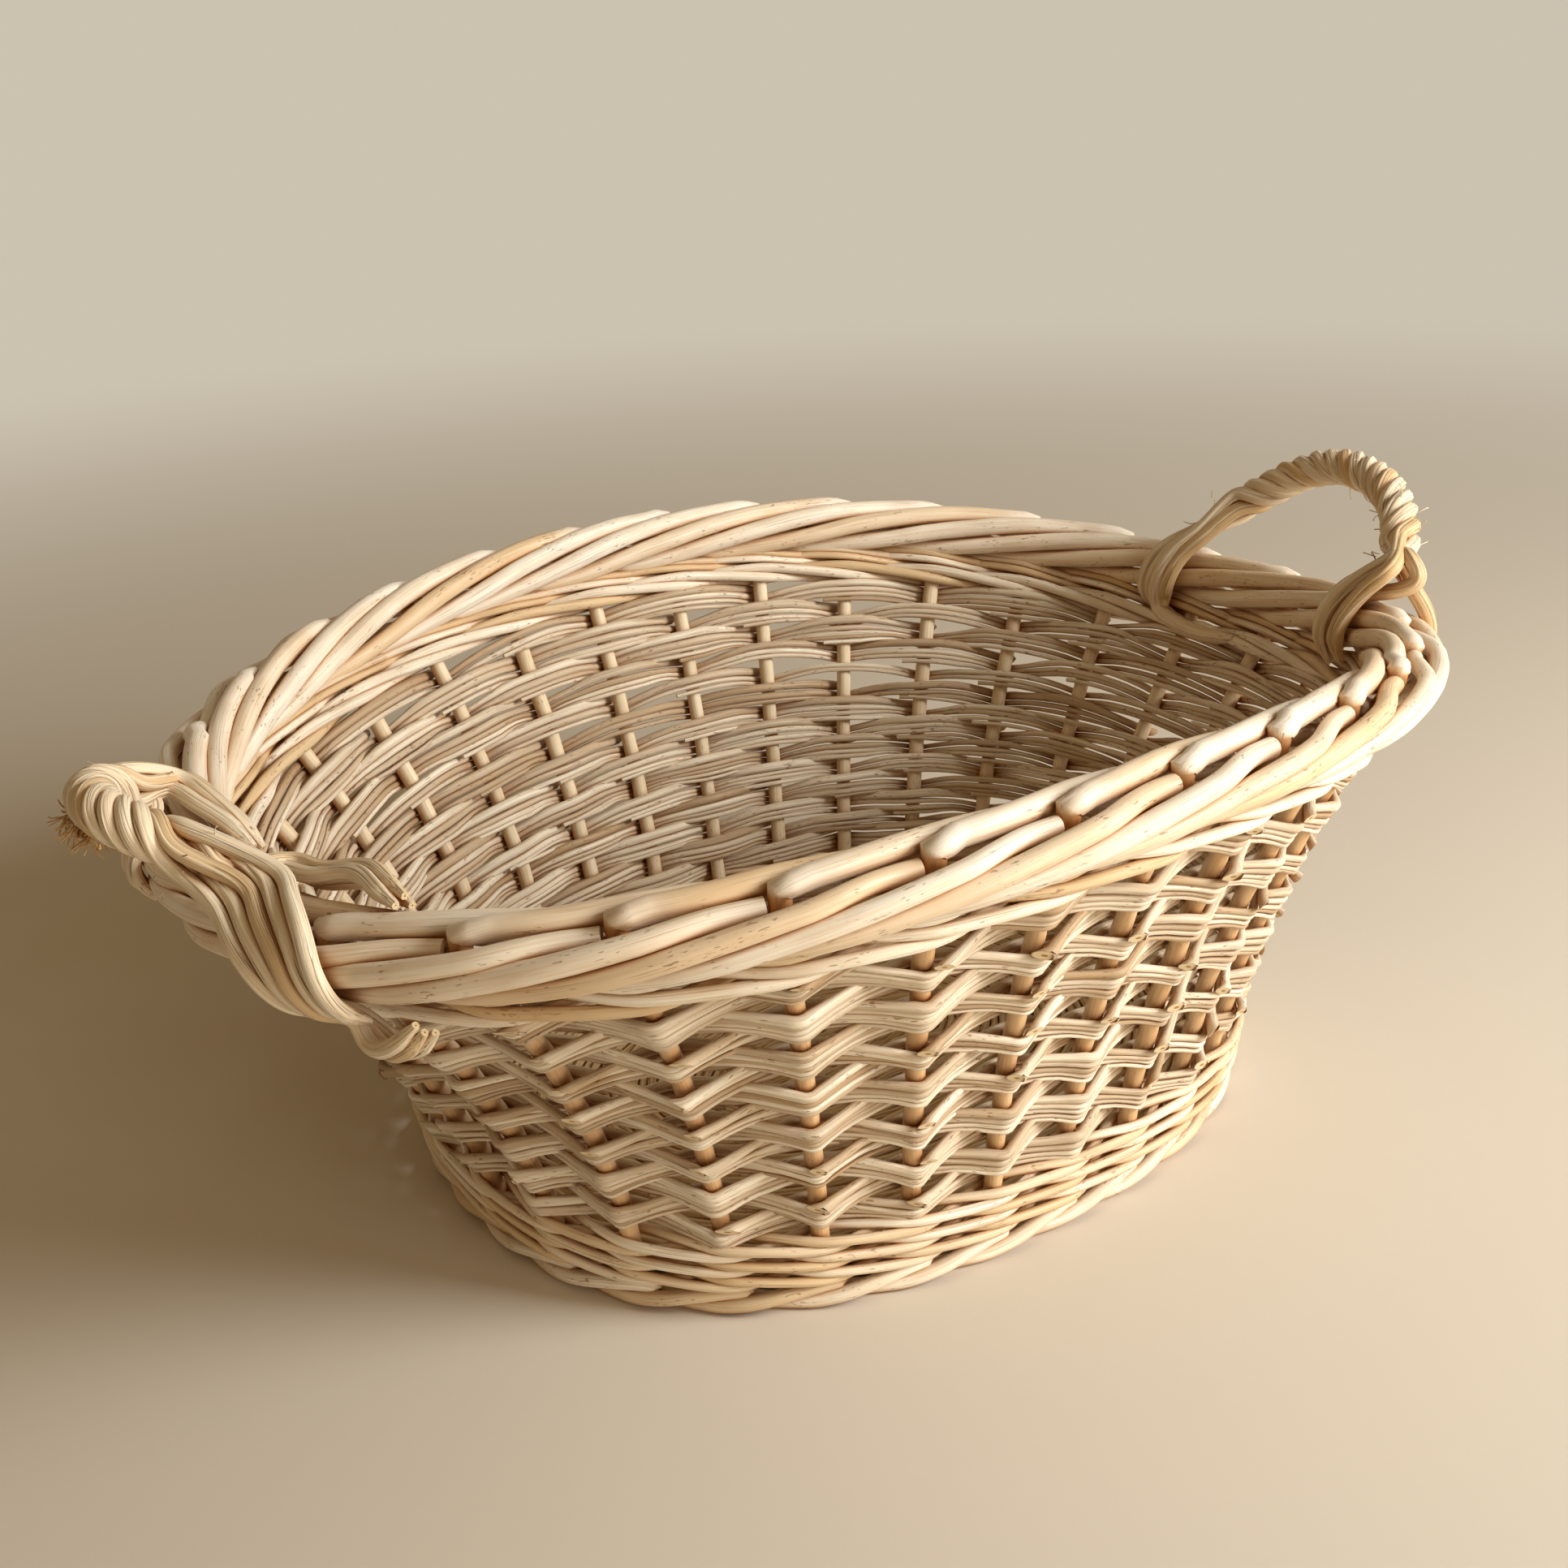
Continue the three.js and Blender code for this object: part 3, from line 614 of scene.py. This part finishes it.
def band(course):
    """The rods of one band, stacked from the youngest on top to the oldest below."""
    # A rod starts every three or four stakes, always in front of one.
    starts = []
    spot = chance.uniform(0, 4) + (course % 2)
    while spot < STAKES - 2.2:
        stake = 2 * round((spot - course % 2) / 2) + course % 2
        starts.append(stake + chance.uniform(-0.06, 0.09))
        spot += chance.uniform(*START_SPACING)
    lengths = [2 * round(chance.uniform(12, 16) / 2) + 1.3 for _ in starts]
    butts = [BUTT * chance.uniform(0.86, 1.08) for _ in starts]

    # Its age is how many stakes it has passed, and its weight how much room it takes there.
    ages = [np.mod(PLACE - start, STAKES) for start in starts]
    ages = [np.where(age > STAKES - 1, age - STAKES, age) for age in ages]
    radii = [butt + (TIP - butt) * np.clip(age / length, 0, 1) ** TAPER
             for age, length, butt in zip(ages, lengths, butts)]
    weights = [smooth((age + FADE) / FADE) * smooth((length - age) / FADE) * (age < length)
               for age, length in zip(ages, lengths)]

    # The band kinks over the stake that it passes in front of, and bends softly behind the
    # next: side is 1 in front of the stakes and -1 behind them.
    share = (PLACE + 0.5) / STAKES
    low, high = edge_height(course), edge_height(course + 1)
    centre = (low + high) / 2
    phase = np.abs(np.mod(PLACE - course + 1, 2) - 1)
    bend = np.sqrt(phase**2 + 0.0016) - 0.04 * (1 - phase)
    side = 1 - 2 * np.sin(math.pi / 2 * np.clip(bend, 0, 1))
    up, out = wall_frame(share, centre)

    # Its rods are made a little thinner or thicker to fill the room they have, then pressed.
    room = (high - low) / up[:, 2] * (1.14 + 0.36 * side**2)
    stack = sum(2 * radius * weight for radius, weight in zip(radii, weights))
    fit = np.clip(room / stack, *FIT)
    radii = [radius * fit for radius in radii]
    stack = stack * fit
    pack = np.minimum(room / stack, 1.0)
    middle_line = wall_points(share, centre)
    rods = []
    for mine in range(len(starts)):
        others = [other for other in range(len(starts)) if other != mine]
        above = sum(2 * radii[other] * weights[other] * (ages[other] < ages[mine])
                    for other in others)
        lift = (stack / 2 - above - radii[mine]) * pack
        lift = lift - SAG * min(course, 1) * np.clip(side, 0, 1) + RISE * np.clip(-side, 0, 1)
        lift = lift + 0.45 * np.sin(ages[mine] * chance.uniform(0.7, 1.6) + chance.uniform(0, 6))

        # Where they are pressed, every other rod steps out; none sinks into a stake, and a
        # butt stands proud of its band.
        rank = sum((ages[other] < ages[mine]) * weights[other] for other in others)
        stagger = np.cos(math.pi * rank) * radii[mine] * np.sqrt(1 - pack**2) * 0.8
        offset = side * (STAKE_RADIUS + ROD_GAP + radii[mine] * 1.05) + stagger
        least = STAKE_RADIUS + 0.2 + radii[mine]
        offset = np.where(side > 0.9, np.maximum(offset, least), offset)
        offset = offset + BUTT_OUT * np.exp(-np.abs(ages[mine]) / 0.3)
        line = middle_line + out * offset[:, None] + up * lift[:, None]
        order = np.argsort(ages[mine])
        order = order[(ages[mine][order] >= 0) & (ages[mine][order] <= lengths[mine])]
        first = order[0]
        face = out[first] * chance.uniform(1.2, 1.6) - up[first] * chance.uniform(0.2, 0.7)
        rods.append(rod(line[order], radii[mine][order], cut=face))
    return rods


for course in range(COURSES):
    name = f"slew_{course + 1:02d}"
    piece = sweep(name + "_rods", band(course), slew_willow, seed=float(course))
    stand_for(piece, [name])

# Rolled border. Each stake is folded over sharply at the top, where its skin cracks white, runs
# to the right over the inner edge, under and out, and climbs the outer face to end flat against
# the stub of a later stake, whose amber is painted shade.
BORDER_HALF_WIDTH = 20.0
BORDER_ROD_RADIUS = 4.7
BORDER_LENGTH = 1680.0
STUB_POINTS, RUN_POINTS = 9, 88

# Thick smooth rods: cream to tan, with the silkiest sheen of the basket.
border_willow = peeled_willow(
    "peeled willow of the border", "#fbf6ea", "#e0bb84", 0.6, 0.35, 0.45)

# The places of a rod's points: how far along, across the border and up. Its stub stands up out
# of the wall, the fold is above it, and the run turns round the border's middle from stake to
# stake by these angles (180 is inside, 270 under, 360 outside) until it is tucked in.
rise = np.linspace(-BORDER_HALF_HEIGHT + 1.0, 3.0, STUB_POINTS)
lean = np.interp(rise, [-BORDER_HALF_HEIGHT + 1, 3.0], [-9.0, 2.2])
stub = np.stack([np.zeros(STUB_POINTS), lean, rise], -1)
FOLD = np.array([[0.0, 2.3, 5.5], [0.0, 2.4, 9.0], [0.0, 2.4, 10.0], [5.0, 2.0, 11.0]])
PLACES = [0, 1, 2, 3, 4, 5, 6, 7]
ANGLES = [84, 118, 164, 224, 288, 342, 383, 420]
steps = np.linspace(0.2, 6.9, RUN_POINTS)
tucked = smooth((steps - 6.1) / 0.8)
swelling = np.concatenate([np.full(STUB_POINTS, 0.94), [0.98, 1.02, 1.2, 1.08],
                           np.linspace(1.1, 0.9, RUN_POINTS)])
# Painted shade: the stub and the foot of the fold are painted amber, where they stand in the
# shade of the rods round them; the cracked top of the fold is white.
shade_and_crush = np.concatenate([np.full(STUB_POINTS, 1.0), [1.0, 0.8, -0.3, -0.5],
                        np.interp(steps, [0.2, 0.4], [-0.35, 0.0])])
in_steps = [BORDER_LENGTH / STAKES, 1, 1]
border_rods = []
for number in range(STAKES):
    rod_radius = BORDER_ROD_RADIUS * chance.uniform(0.95, 1.05)
    fold = FOLD + [0, chance.uniform(-0.8, 0.8), chance.uniform(-0.6, 0.7)]
    angle = np.radians(np.interp(steps, PLACES, ANGLES) + chance.uniform(-3, 3))
    angle = np.convolve(np.pad(angle, 4, mode="edge"), np.ones(9) / 9, "valid")
    angle = angle + 0.02 * np.sin(steps * chance.uniform(2, 4) + chance.uniform(0, 6))
    sunk = 0.35 * np.sin(steps * chance.uniform(3, 5) + chance.uniform(0, 6))
    across = (BORDER_HALF_WIDTH - rod_radius + sunk) * np.cos(angle)
    height = (BORDER_HALF_HEIGHT - rod_radius + sunk) * np.sin(angle)
    across = across * (1 - tucked) + 3.4 * tucked
    height = height * (1 - tucked) + 5.4 * tucked
    path = np.concatenate([stub / in_steps, fold / in_steps,
                           np.stack([steps, across, height], -1)])
    share = (number + 0.5 + path[:, 0]) / STAKES
    line = rim_points(share) + level_out(rim_round, share) * path[:, 1:2]
    line[:, 2] += path[:, 2]
    border_rods.append(rod(line, rod_radius * swelling, shade_and_crush=shade_and_crush))
border_piece = sweep("rolled_border_rods", border_rods, border_willow, sides=14, wobble=0.1)
stand_for(border_piece, ["rolled_border"])

# Handles. Each is a bow of willow strands twisted into a rope; at its legs the strands part and
# wrap the border, and some end in loose tails. Twisting has split them and torn fibres off.
LEG_OUT, LEG_UP = 4.0, 6.8
LOOSE_POINTS = 14

# Twisting opens the skin: cream with deep cracks along the strands, and hardly a speck.
handle_willow = peeled_willow(
    "twisted willow of the handles", "#f7eed9", "#d2a866", 0.1, 0.9, 0.5)


def smooth_line(knots, step=2.0):
    """A centripetal Catmull-Rom line through points, in even steps."""
    knots = np.asarray(knots, float)
    padded = np.concatenate([[2 * knots[0] - knots[1]], knots, [2 * knots[-1] - knots[-2]]])
    spots = []
    for i in range(len(knots) - 1):
        a, b, c, d = padded[i : i + 4]
        t1 = math.sqrt(np.linalg.norm(b - a))
        t2 = t1 + math.sqrt(np.linalg.norm(c - b))
        t3 = t2 + math.sqrt(np.linalg.norm(d - c))
        t = np.linspace(t1, t2, 20, endpoint=False)[:, None]
        ab, bc = a + (b - a) * t / t1, b + (c - b) * (t - t1) / (t2 - t1)
        cd = c + (d - c) * (t - t2) / (t3 - t2)
        abc = ab + (bc - ab) * t / t2
        bcd = bc + (cd - bc) * (t - t1) / (t3 - t1)
        spots.append(abc + (bcd - abc) * (t - t1) / (t2 - t1))
    line = np.concatenate(spots + [knots[-1:]])
    way = np.concatenate([[0], np.cumsum(np.linalg.norm(np.diff(line, axis=0), axis=1))])
    even = np.linspace(0, way[-1], int(way[-1] / step) + 2)
    return np.stack([np.interp(even, way, line[:, k]) for k in range(3)], -1)


def wrap(leg, knots, aside, lift):
    """A strand's line over the border at a leg. knots give how many stakes along, the angle up
    from the outer face and the distance off the border; aside and lift shift it, in mm."""
    steps, angles, off = np.array(knots, float).T
    share = (leg + steps) / STAKES
    out = level_out(rim_round, share)
    turn = np.radians(angles)
    normal = out * np.cos(turn)[:, None] + np.array([0, 0, 1]) * np.sin(turn)[:, None]
    line = rim_points(share) + out * ((BORDER_HALF_WIDTH + off + lift) * np.cos(turn))[:, None]
    line[:, 2] += (BORDER_HALF_HEIGHT + off + lift) * np.sin(turn)
    sideways = np.cross(unit(np.gradient(line, axis=0)), normal)
    for n in range(len(line) - 2, -1, -1):
        if np.linalg.norm(sideways[n]) < 0.7:
            sideways[n] = sideways[n + 1]
    spread = np.interp(np.arange(len(line)), [0, 2, 5, 9], [1.0, 1.1, 1.0, 0.6])
    return line + unit(sideways) * (aside * spread)[:, None]


def strand(line, thick):
    """A strand: a core with five thinner splits of skin lying along it, tapered at both ends."""
    ahead = unit(np.gradient(line, axis=0))
    first = [unit(np.cross(ahead[0], [0.3, 0.2, 0.9]))]
    for way in ahead[1:]:
        first.append(unit(first[-1] - way * (first[-1] @ way)))
    first = np.array(first)
    second = np.cross(ahead, first)
    count = len(line)
    points = np.arange(count)
    thin = np.interp(points, [0, 6, count - 7, count - 1], [0.45, 1, 1, 0.45])
    tone = chance.random()
    rods = [rod(line, thick * 0.95 * thin, tone=tone)]
    for n in range(5):
        angle = n * 1.257 + points * chance.uniform(0.012, 0.03)
        angle = angle + 0.3 * np.sin(points * 0.11 + chance.uniform(0, 6))
        aside = first * np.cos(angle)[:, None] + second * np.sin(angle)[:, None]
        split = line + aside * (thick * 0.66 * thin)[:, None]
        girth = thick * chance.uniform(0.32, 0.38) * thin
        rods.append(rod(split, girth, tone=0.6 * tone + 0.4 * chance.random()))
    return rods


def fray(start, ahead, length, tone):
    """A torn fibre that curls away from its strand."""
    spots, way, parts = [start], unit(ahead), 7
    curl = chance.normal(0, 1, 3) * 0.5
    for _ in range(parts):
        way = unit(way + curl * 0.3 + chance.normal(0, 0.12, 3))
        spots.append(spots[-1] + way * length / parts)
    return rod(smooth_line(spots, 1.5), chance.uniform(0.18, 0.34), tone=tone)


def handle(name, legs, lean, reach, rope, ways, torn):
    """One handle: legs are the stakes it stands at; it leans out and reaches as far as given.
    rope gives its strands, their ring, thickness and lay, where they are cut and where loose ones
    part; ways gives the wraps at each leg, and torn the tufts of fibres: where, how many, how
    long and how brown, the brown of fibres hanging beneath the rope being painted shade."""
    # The bow runs through knots from one leg, on the border, over the crest to the other.
    lean = math.radians(lean)
    middle = np.array(sum(legs) / 2 / STAKES)
    out = level_out(rim_round, middle)
    crest = rim_points(middle) + reach * (out * math.sin(lean) + np.array([0, 0, math.cos(lean)]))
    starts = []
    for leg in legs:
        share = np.array(leg / STAKES)
        start = rim_points(share) + level_out(rim_round, share) * LEG_OUT
        starts.append(start + [0, 0, BORDER_HALF_HEIGHT + LEG_UP])
    base, span = (starts[0] + starts[1]) / 2, starts[1] - starts[0]
    rise = crest - base
    knots = [starts[0]]
    for aside, up in ((-0.45, 0.35), (-0.35, 0.7), (-0.2, 0.94)):
        knots.append(base + span * aside + rise * up)
    knots.append(crest)
    for aside, up in ((0.13, 0.82), (0.27, 0.42), (0.4, 0.16)):
        knots.append(base + span * aside + rise * up)
    knots.append(starts[1])
    bow = smooth_line(knots)
    last = len(bow) - 1

    # Its strands turn round it, with a longer lay towards the legs.
    ahead = unit(np.gradient(bow, axis=0))
    flat = unit(np.cross(span, rise))
    beneath = -flat * np.sign(flat[2])
    side = unit(np.cross(ahead, flat))
    along = np.arange(last + 1) / last
    lay = rope["lay"] * np.interp(along, [0, 0.15, 0.4, 0.55, 0.75, 0.9, 1],
                                  [1.6, 1.3, 1.0, 1.0, 1.2, 1.5, 1.9])
    twist = -2 * math.pi * np.cumsum(np.linalg.norm(np.gradient(bow, axis=0), axis=1) / lay)

    def twisted(phase, ring, first, end):
        angle = twist + phase
        around = flat * np.sin(angle)[:, None] + side * np.cos(angle)[:, None]
        return (bow + around * ring)[first:end:3]

    # Each strand of the bow goes on into a wrap at each leg: those that leave it side by side
    # wrap side by side.
    rods, lines = [], []
    count = rope["strands"]
    first, end = rope["cut"][0], last - rope["cut"][1]
    bodies = [twisted(n * 2 * math.pi / count, rope["ring"], first, end) for n in range(count)]
    wraps = []
    for leg, tip in ((0, 0), (1, -1)):
        paths = [wrap(legs[leg], *way) for way in ways[leg][:count]]
        starts_of = np.array([path[0] for path in paths])
        across = starts_of[0] - starts_of[1:].mean(0)
        ranks = np.argsort(np.argsort([body[tip] @ across for body in bodies]))
        by_rank = np.argsort(starts_of @ across)
        wraps.append([paths[by_rank[rank]] for rank in ranks])
    for body, near_wrap, far_wrap in zip(bodies, *wraps):
        lines.append(smooth_line(np.concatenate([near_wrap[::-1], body, far_wrap])))

    # The other wraps of a leg are loose strands, which part from the rope above it.
    for leg in (0, 1):
        near = rope["loose"][leg]
        far = near + LOOSE_POINTS
        for n, way in enumerate(ways[leg][count:]):
            part = (near, far) if leg == 0 else (last - far, last - near)
            body = twisted(n * 2.1 + leg, rope["ring"] * 0.6, *part)
            body = body[::-1] if leg == 0 else body
            lines.append(smooth_line(np.concatenate([body, wrap(legs[leg], *way)])))

    # A strand bends softly: its line is smoothed, and its ends stay where they are.
    for line in lines:
        for _ in range(8):
            line[1:-1] = line[1:-1] * 0.5 + (line[:-2] + line[2:]) * 0.25
        rods += strand(line, rope["thick"] * chance.uniform(0.93, 1.07))

    # Torn fibres stand off the rope; the browner they are, the more they hang from beneath it,
    # and that brown is painted shade under the rope.
    for spot, number, length, brown in torn:
        for _ in range(number):
            at = int(np.clip(spot + chance.normal(0, 0.035), 0, 1) * last)
            turn = chance.uniform(0, 2 * math.pi)
            away = flat * math.sin(turn) + side[at] * math.cos(turn)
            away = unit(away + beneath * 2.2 * brown)
            root = bow[at] + away * (rope["ring"] + rope["thick"] * 0.8)
            rods.append(fray(root, away + ahead[at] * chance.normal(0, 0.9),
                             length * chance.uniform(0.5, 1.2), 0.2 + brown))
    piece = sweep(name + "_strands", rods, handle_willow, wobble=0.12)
    stand_for(piece, [name])


# The right handle. At its near leg strands go over the border and in, one goes down outside and
# one curls back; at its far leg they go in and along the wall.
OVER_AND_IN = [(-0.2, 86, 19), (-0.12, 104, 11), (-0.02, 128, 6), (0, 155, 4.5), (-0.02, 182, 4),
               (-0.06, 212, 3)]
DOWN_OUTSIDE = [(-0.2, 70, 12), (-0.25, 42, 5), (-0.24, 12, 3), (-0.2, -18, 3), (-0.2, -45, 2)]
CURL_BACK = [(-0.32, 80, 25), (-0.42, 70, 16), (-0.36, 82, 9), (-0.16, 100, 6), (0.1, 124, 3.5),
             (0.16, 140, 2)]
IN_AND_ALONG = [(-0.46, 112, 10), (-0.32, 130, 7), (-0.2, 158, 5), (-0.12, 188, 4),
                (-0.1, 214, 3.5), (-0.2, 222, 8), (-0.5, 223, 12), (-0.9, 224, 13),
                (-1.3, 222, 11)]
right_near = [(OVER_AND_IN, 13, 0), (OVER_AND_IN, 4, 4), (OVER_AND_IN, -4, 6.5),
              (OVER_AND_IN, -13, 3), (OVER_AND_IN, 0, 0), (DOWN_OUTSIDE, 0, 0),
              (CURL_BACK, 0, 0)]
right_far = [(IN_AND_ALONG, 7.5, 0), (IN_AND_ALONG[:6], -7.5, 3.5), (IN_AND_ALONG, -2.6, 5),
             (IN_AND_ALONG[:7], 2.6, 1.5)]
handle("handle_right", legs=(-2, 1), lean=24.0, reach=76.0,
       rope={"strands": 4, "ring": 6.6, "thick": 4.3, "lay": 35.0, "cut": (14, 22),
             "loose": (12, 20)},
       ways=(right_near, right_far),
       torn=[(0.2, 8, 7, 0.1), (0.42, 9, 6, 0.1), (0.08, 6, 8, 0.1), (0.9, 5, 7, 0.2)])

# The left handle. At its near leg strands slant down outside, some into loose tails, and others
# run along the inner top; at its far leg they end in points and short inner tails.
SLANT_OUTSIDE = [(-0.06, 68, 9), (0.2, 48, 6), (0.42, 22, 5), (0.54, -8, 5), (0.62, -40, 5),
                 (0.7, -72, 5)]
TAIL = [(0.84, -78, 14), (1.0, -72, 17), (1.2, -60, 14), (1.36, -45, 8)]
INSIDE_TOP = [(-0.3, 125, 7), (0.05, 128, 7), (0.3, 132, 11), (0.55, 128, 11), (0.8, 120, 6),
              (1.0, 112, 2)]
POINTED = [(0.1, 70, 9), (0.2, 48, 4.5), (0.22, 20, 3.5), (0.22, -10, 3.5), (0.24, -46, 2.5)]
INNER_TAIL = [(0.0, 94, 11), (0.25, 112, 8), (0.5, 134, 6), (0.74, 158, 4)]
left_far = [(POINTED, 3.8, 0), (POINTED, -3.8, 0), (INNER_TAIL, 5.6, 0), (INNER_TAIL, -5.6, 0),
            (INNER_TAIL, 0, 3)]
left_near = [(SLANT_OUTSIDE, 13, 0), (SLANT_OUTSIDE + TAIL, 6.5, 0.5),
             (SLANT_OUTSIDE + TAIL, 0, 1.5), (SLANT_OUTSIDE + TAIL, -6.5, 0),
             (SLANT_OUTSIDE, -13, 0),
             (INSIDE_TOP, 3.6, 0), (INSIDE_TOP, -3.6, 0), (INSIDE_TOP, 0, 3.5)]
handle("handle_left", legs=(14, 16), lean=38.0, reach=61.0,
       rope={"strands": 5, "ring": 7.6, "thick": 3.8, "lay": 35.0, "cut": (12, 18),
             "loose": (8, 8)},
       ways=(left_far, left_near),
       torn=[(0.3, 90, 11, 0.9), (0.45, 70, 10, 0.9), (0.8, 8, 9, 0.1), (0.1, 8, 10, 0.3)])

# Studio. A pale floor that runs into a pale backdrop, a soft key from the right of the camera,
# a low warm fill from beside it, a weak even fill from the air, and the camera where the
# photograph was taken. Its sizes are in metres.
FLOOR_HALF = 20
corners = [(x * FLOOR_HALF, y * FLOOR_HALF, 0) for x, y in ((-1, -1), (1, -1), (1, 1), (-1, 1))]
floor_mesh = bpy.data.meshes.new("floor")
floor_mesh.from_pydata(corners, [], [(0, 1, 2, 3)])
floor = bpy.data.objects.new("floor", floor_mesh)
bpy.context.scene.collection.objects.link(floor)
BACKDROP = linear("#ccc2b0")


def seen_directly(tree):
    """1 where a ray comes from the camera, a mirror or a glass, and 0 elsewhere."""
    path = add(tree, "ShaderNodeLightPath").outputs
    seen = add(tree, "ShaderNodeMath", {0: path["Is Camera Ray"], 1: path["Is Glossy Ray"]},
               operation="MAXIMUM")
    return add(tree, "ShaderNodeMath", {0: seen, 1: path["Is Transmission Ray"]},
               operation="MAXIMUM")


# Matt paint without any sheen, which melts into the backdrop away from the basket.
floor_paint = bpy.data.materials.new("pale matt floor")
floor_paint.use_nodes = True
tree = floor_paint.node_tree
tree.nodes.clear()
spot = add(tree, "ShaderNodeTexCoord").outputs["Object"]
away = add(tree, "ShaderNodeVectorMath", {0: spot}, operation="LENGTH").outputs["Value"]
away = add(tree, "ShaderNodeMapRange", {
    "Value": away, "From Min": 0.45, "From Max": 2.5}, interpolation_type="SMOOTHSTEP")
far = add(tree, "ShaderNodeMath", {0: away, 1: seen_directly(tree)}, operation="MULTIPLY")
matt = add(tree, "ShaderNodeBsdfDiffuse", {"Color": linear("#dcd5c8")})
glow = add(tree, "ShaderNodeEmission", {"Color": BACKDROP})
both = add(tree, "ShaderNodeMixShader", {0: far, 1: matt, 2: glow})
add(tree, "ShaderNodeOutputMaterial", {"Surface": both})
floor_mesh.materials.append(floor_paint)
floor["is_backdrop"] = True

# The air gives the basket a weak warm fill, and the camera the backdrop.
world = bpy.data.worlds.new("studio air")
world.use_nodes = True
tree = world.node_tree
tree.nodes.clear()
fill = add(tree, "ShaderNodeBackground", {"Color": linear("#ffd8a0"), "Strength": 0.25})
seen = add(tree, "ShaderNodeBackground", {"Color": BACKDROP, "Strength": 1.0})
both = add(tree, "ShaderNodeMixShader", {0: seen_directly(tree), 1: fill, 2: seen})
add(tree, "ShaderNodeOutputWorld", {"Surface": both})
bpy.context.scene.world = world


def lamp(name, place, aim, size, power, colour):
    """A square soft lamp, turned to face a point."""
    light = bpy.data.lights.new(name, "AREA")
    light.size = size
    light.energy = power
    light.color = linear(colour)[:3]
    holder = bpy.data.objects.new(name, light)
    holder.location = place
    holder.rotation_mode = "QUATERNION"
    holder.rotation_quaternion = (Vector(aim) - Vector(place)).to_track_quat("-Z", "Y")
    bpy.context.scene.collection.objects.link(holder)


lamp("key", place=(1.1, -1.45, 1.02), aim=(0.0, 0.0, 0.12), size=0.8, power=45,
     colour="#fffdf8")
lamp("low fill", place=(0.25, -2.3, 0.3), aim=(0.0, 0.0, 0.1), size=1.2, power=23,
     colour="#fff0da")

# The camera's angles are in radians.
AZIMUTH, ELEVATION, ROLL = -0.604, 0.398, -0.048
DISTANCE = 1.094
back = Vector((math.sin(AZIMUTH) * math.cos(ELEVATION),
               -math.cos(AZIMUTH) * math.cos(ELEVATION), math.sin(ELEVATION)))
target = Vector((0.071 + MIDDLE_X / 1000, 0.139, 0.100))
camera_data = bpy.data.cameras.new("camera")
camera_data.sensor_width = 36.0
camera_data.lens = 43.3
camera_data.clip_start = 0.05
camera = bpy.data.objects.new("camera", camera_data)
camera.rotation_mode = "QUATERNION"
turn = (-back).to_track_quat("-Z", "Y").to_matrix()
camera.rotation_quaternion = (turn @ Matrix.Rotation(ROLL, 3, "Z")).to_quaternion()
camera.location = target + back * DISTANCE
bpy.context.scene.collection.objects.link(camera)
bpy.context.scene.camera = camera
bpy.context.scene.view_settings.view_transform = "Standard"

low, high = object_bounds()
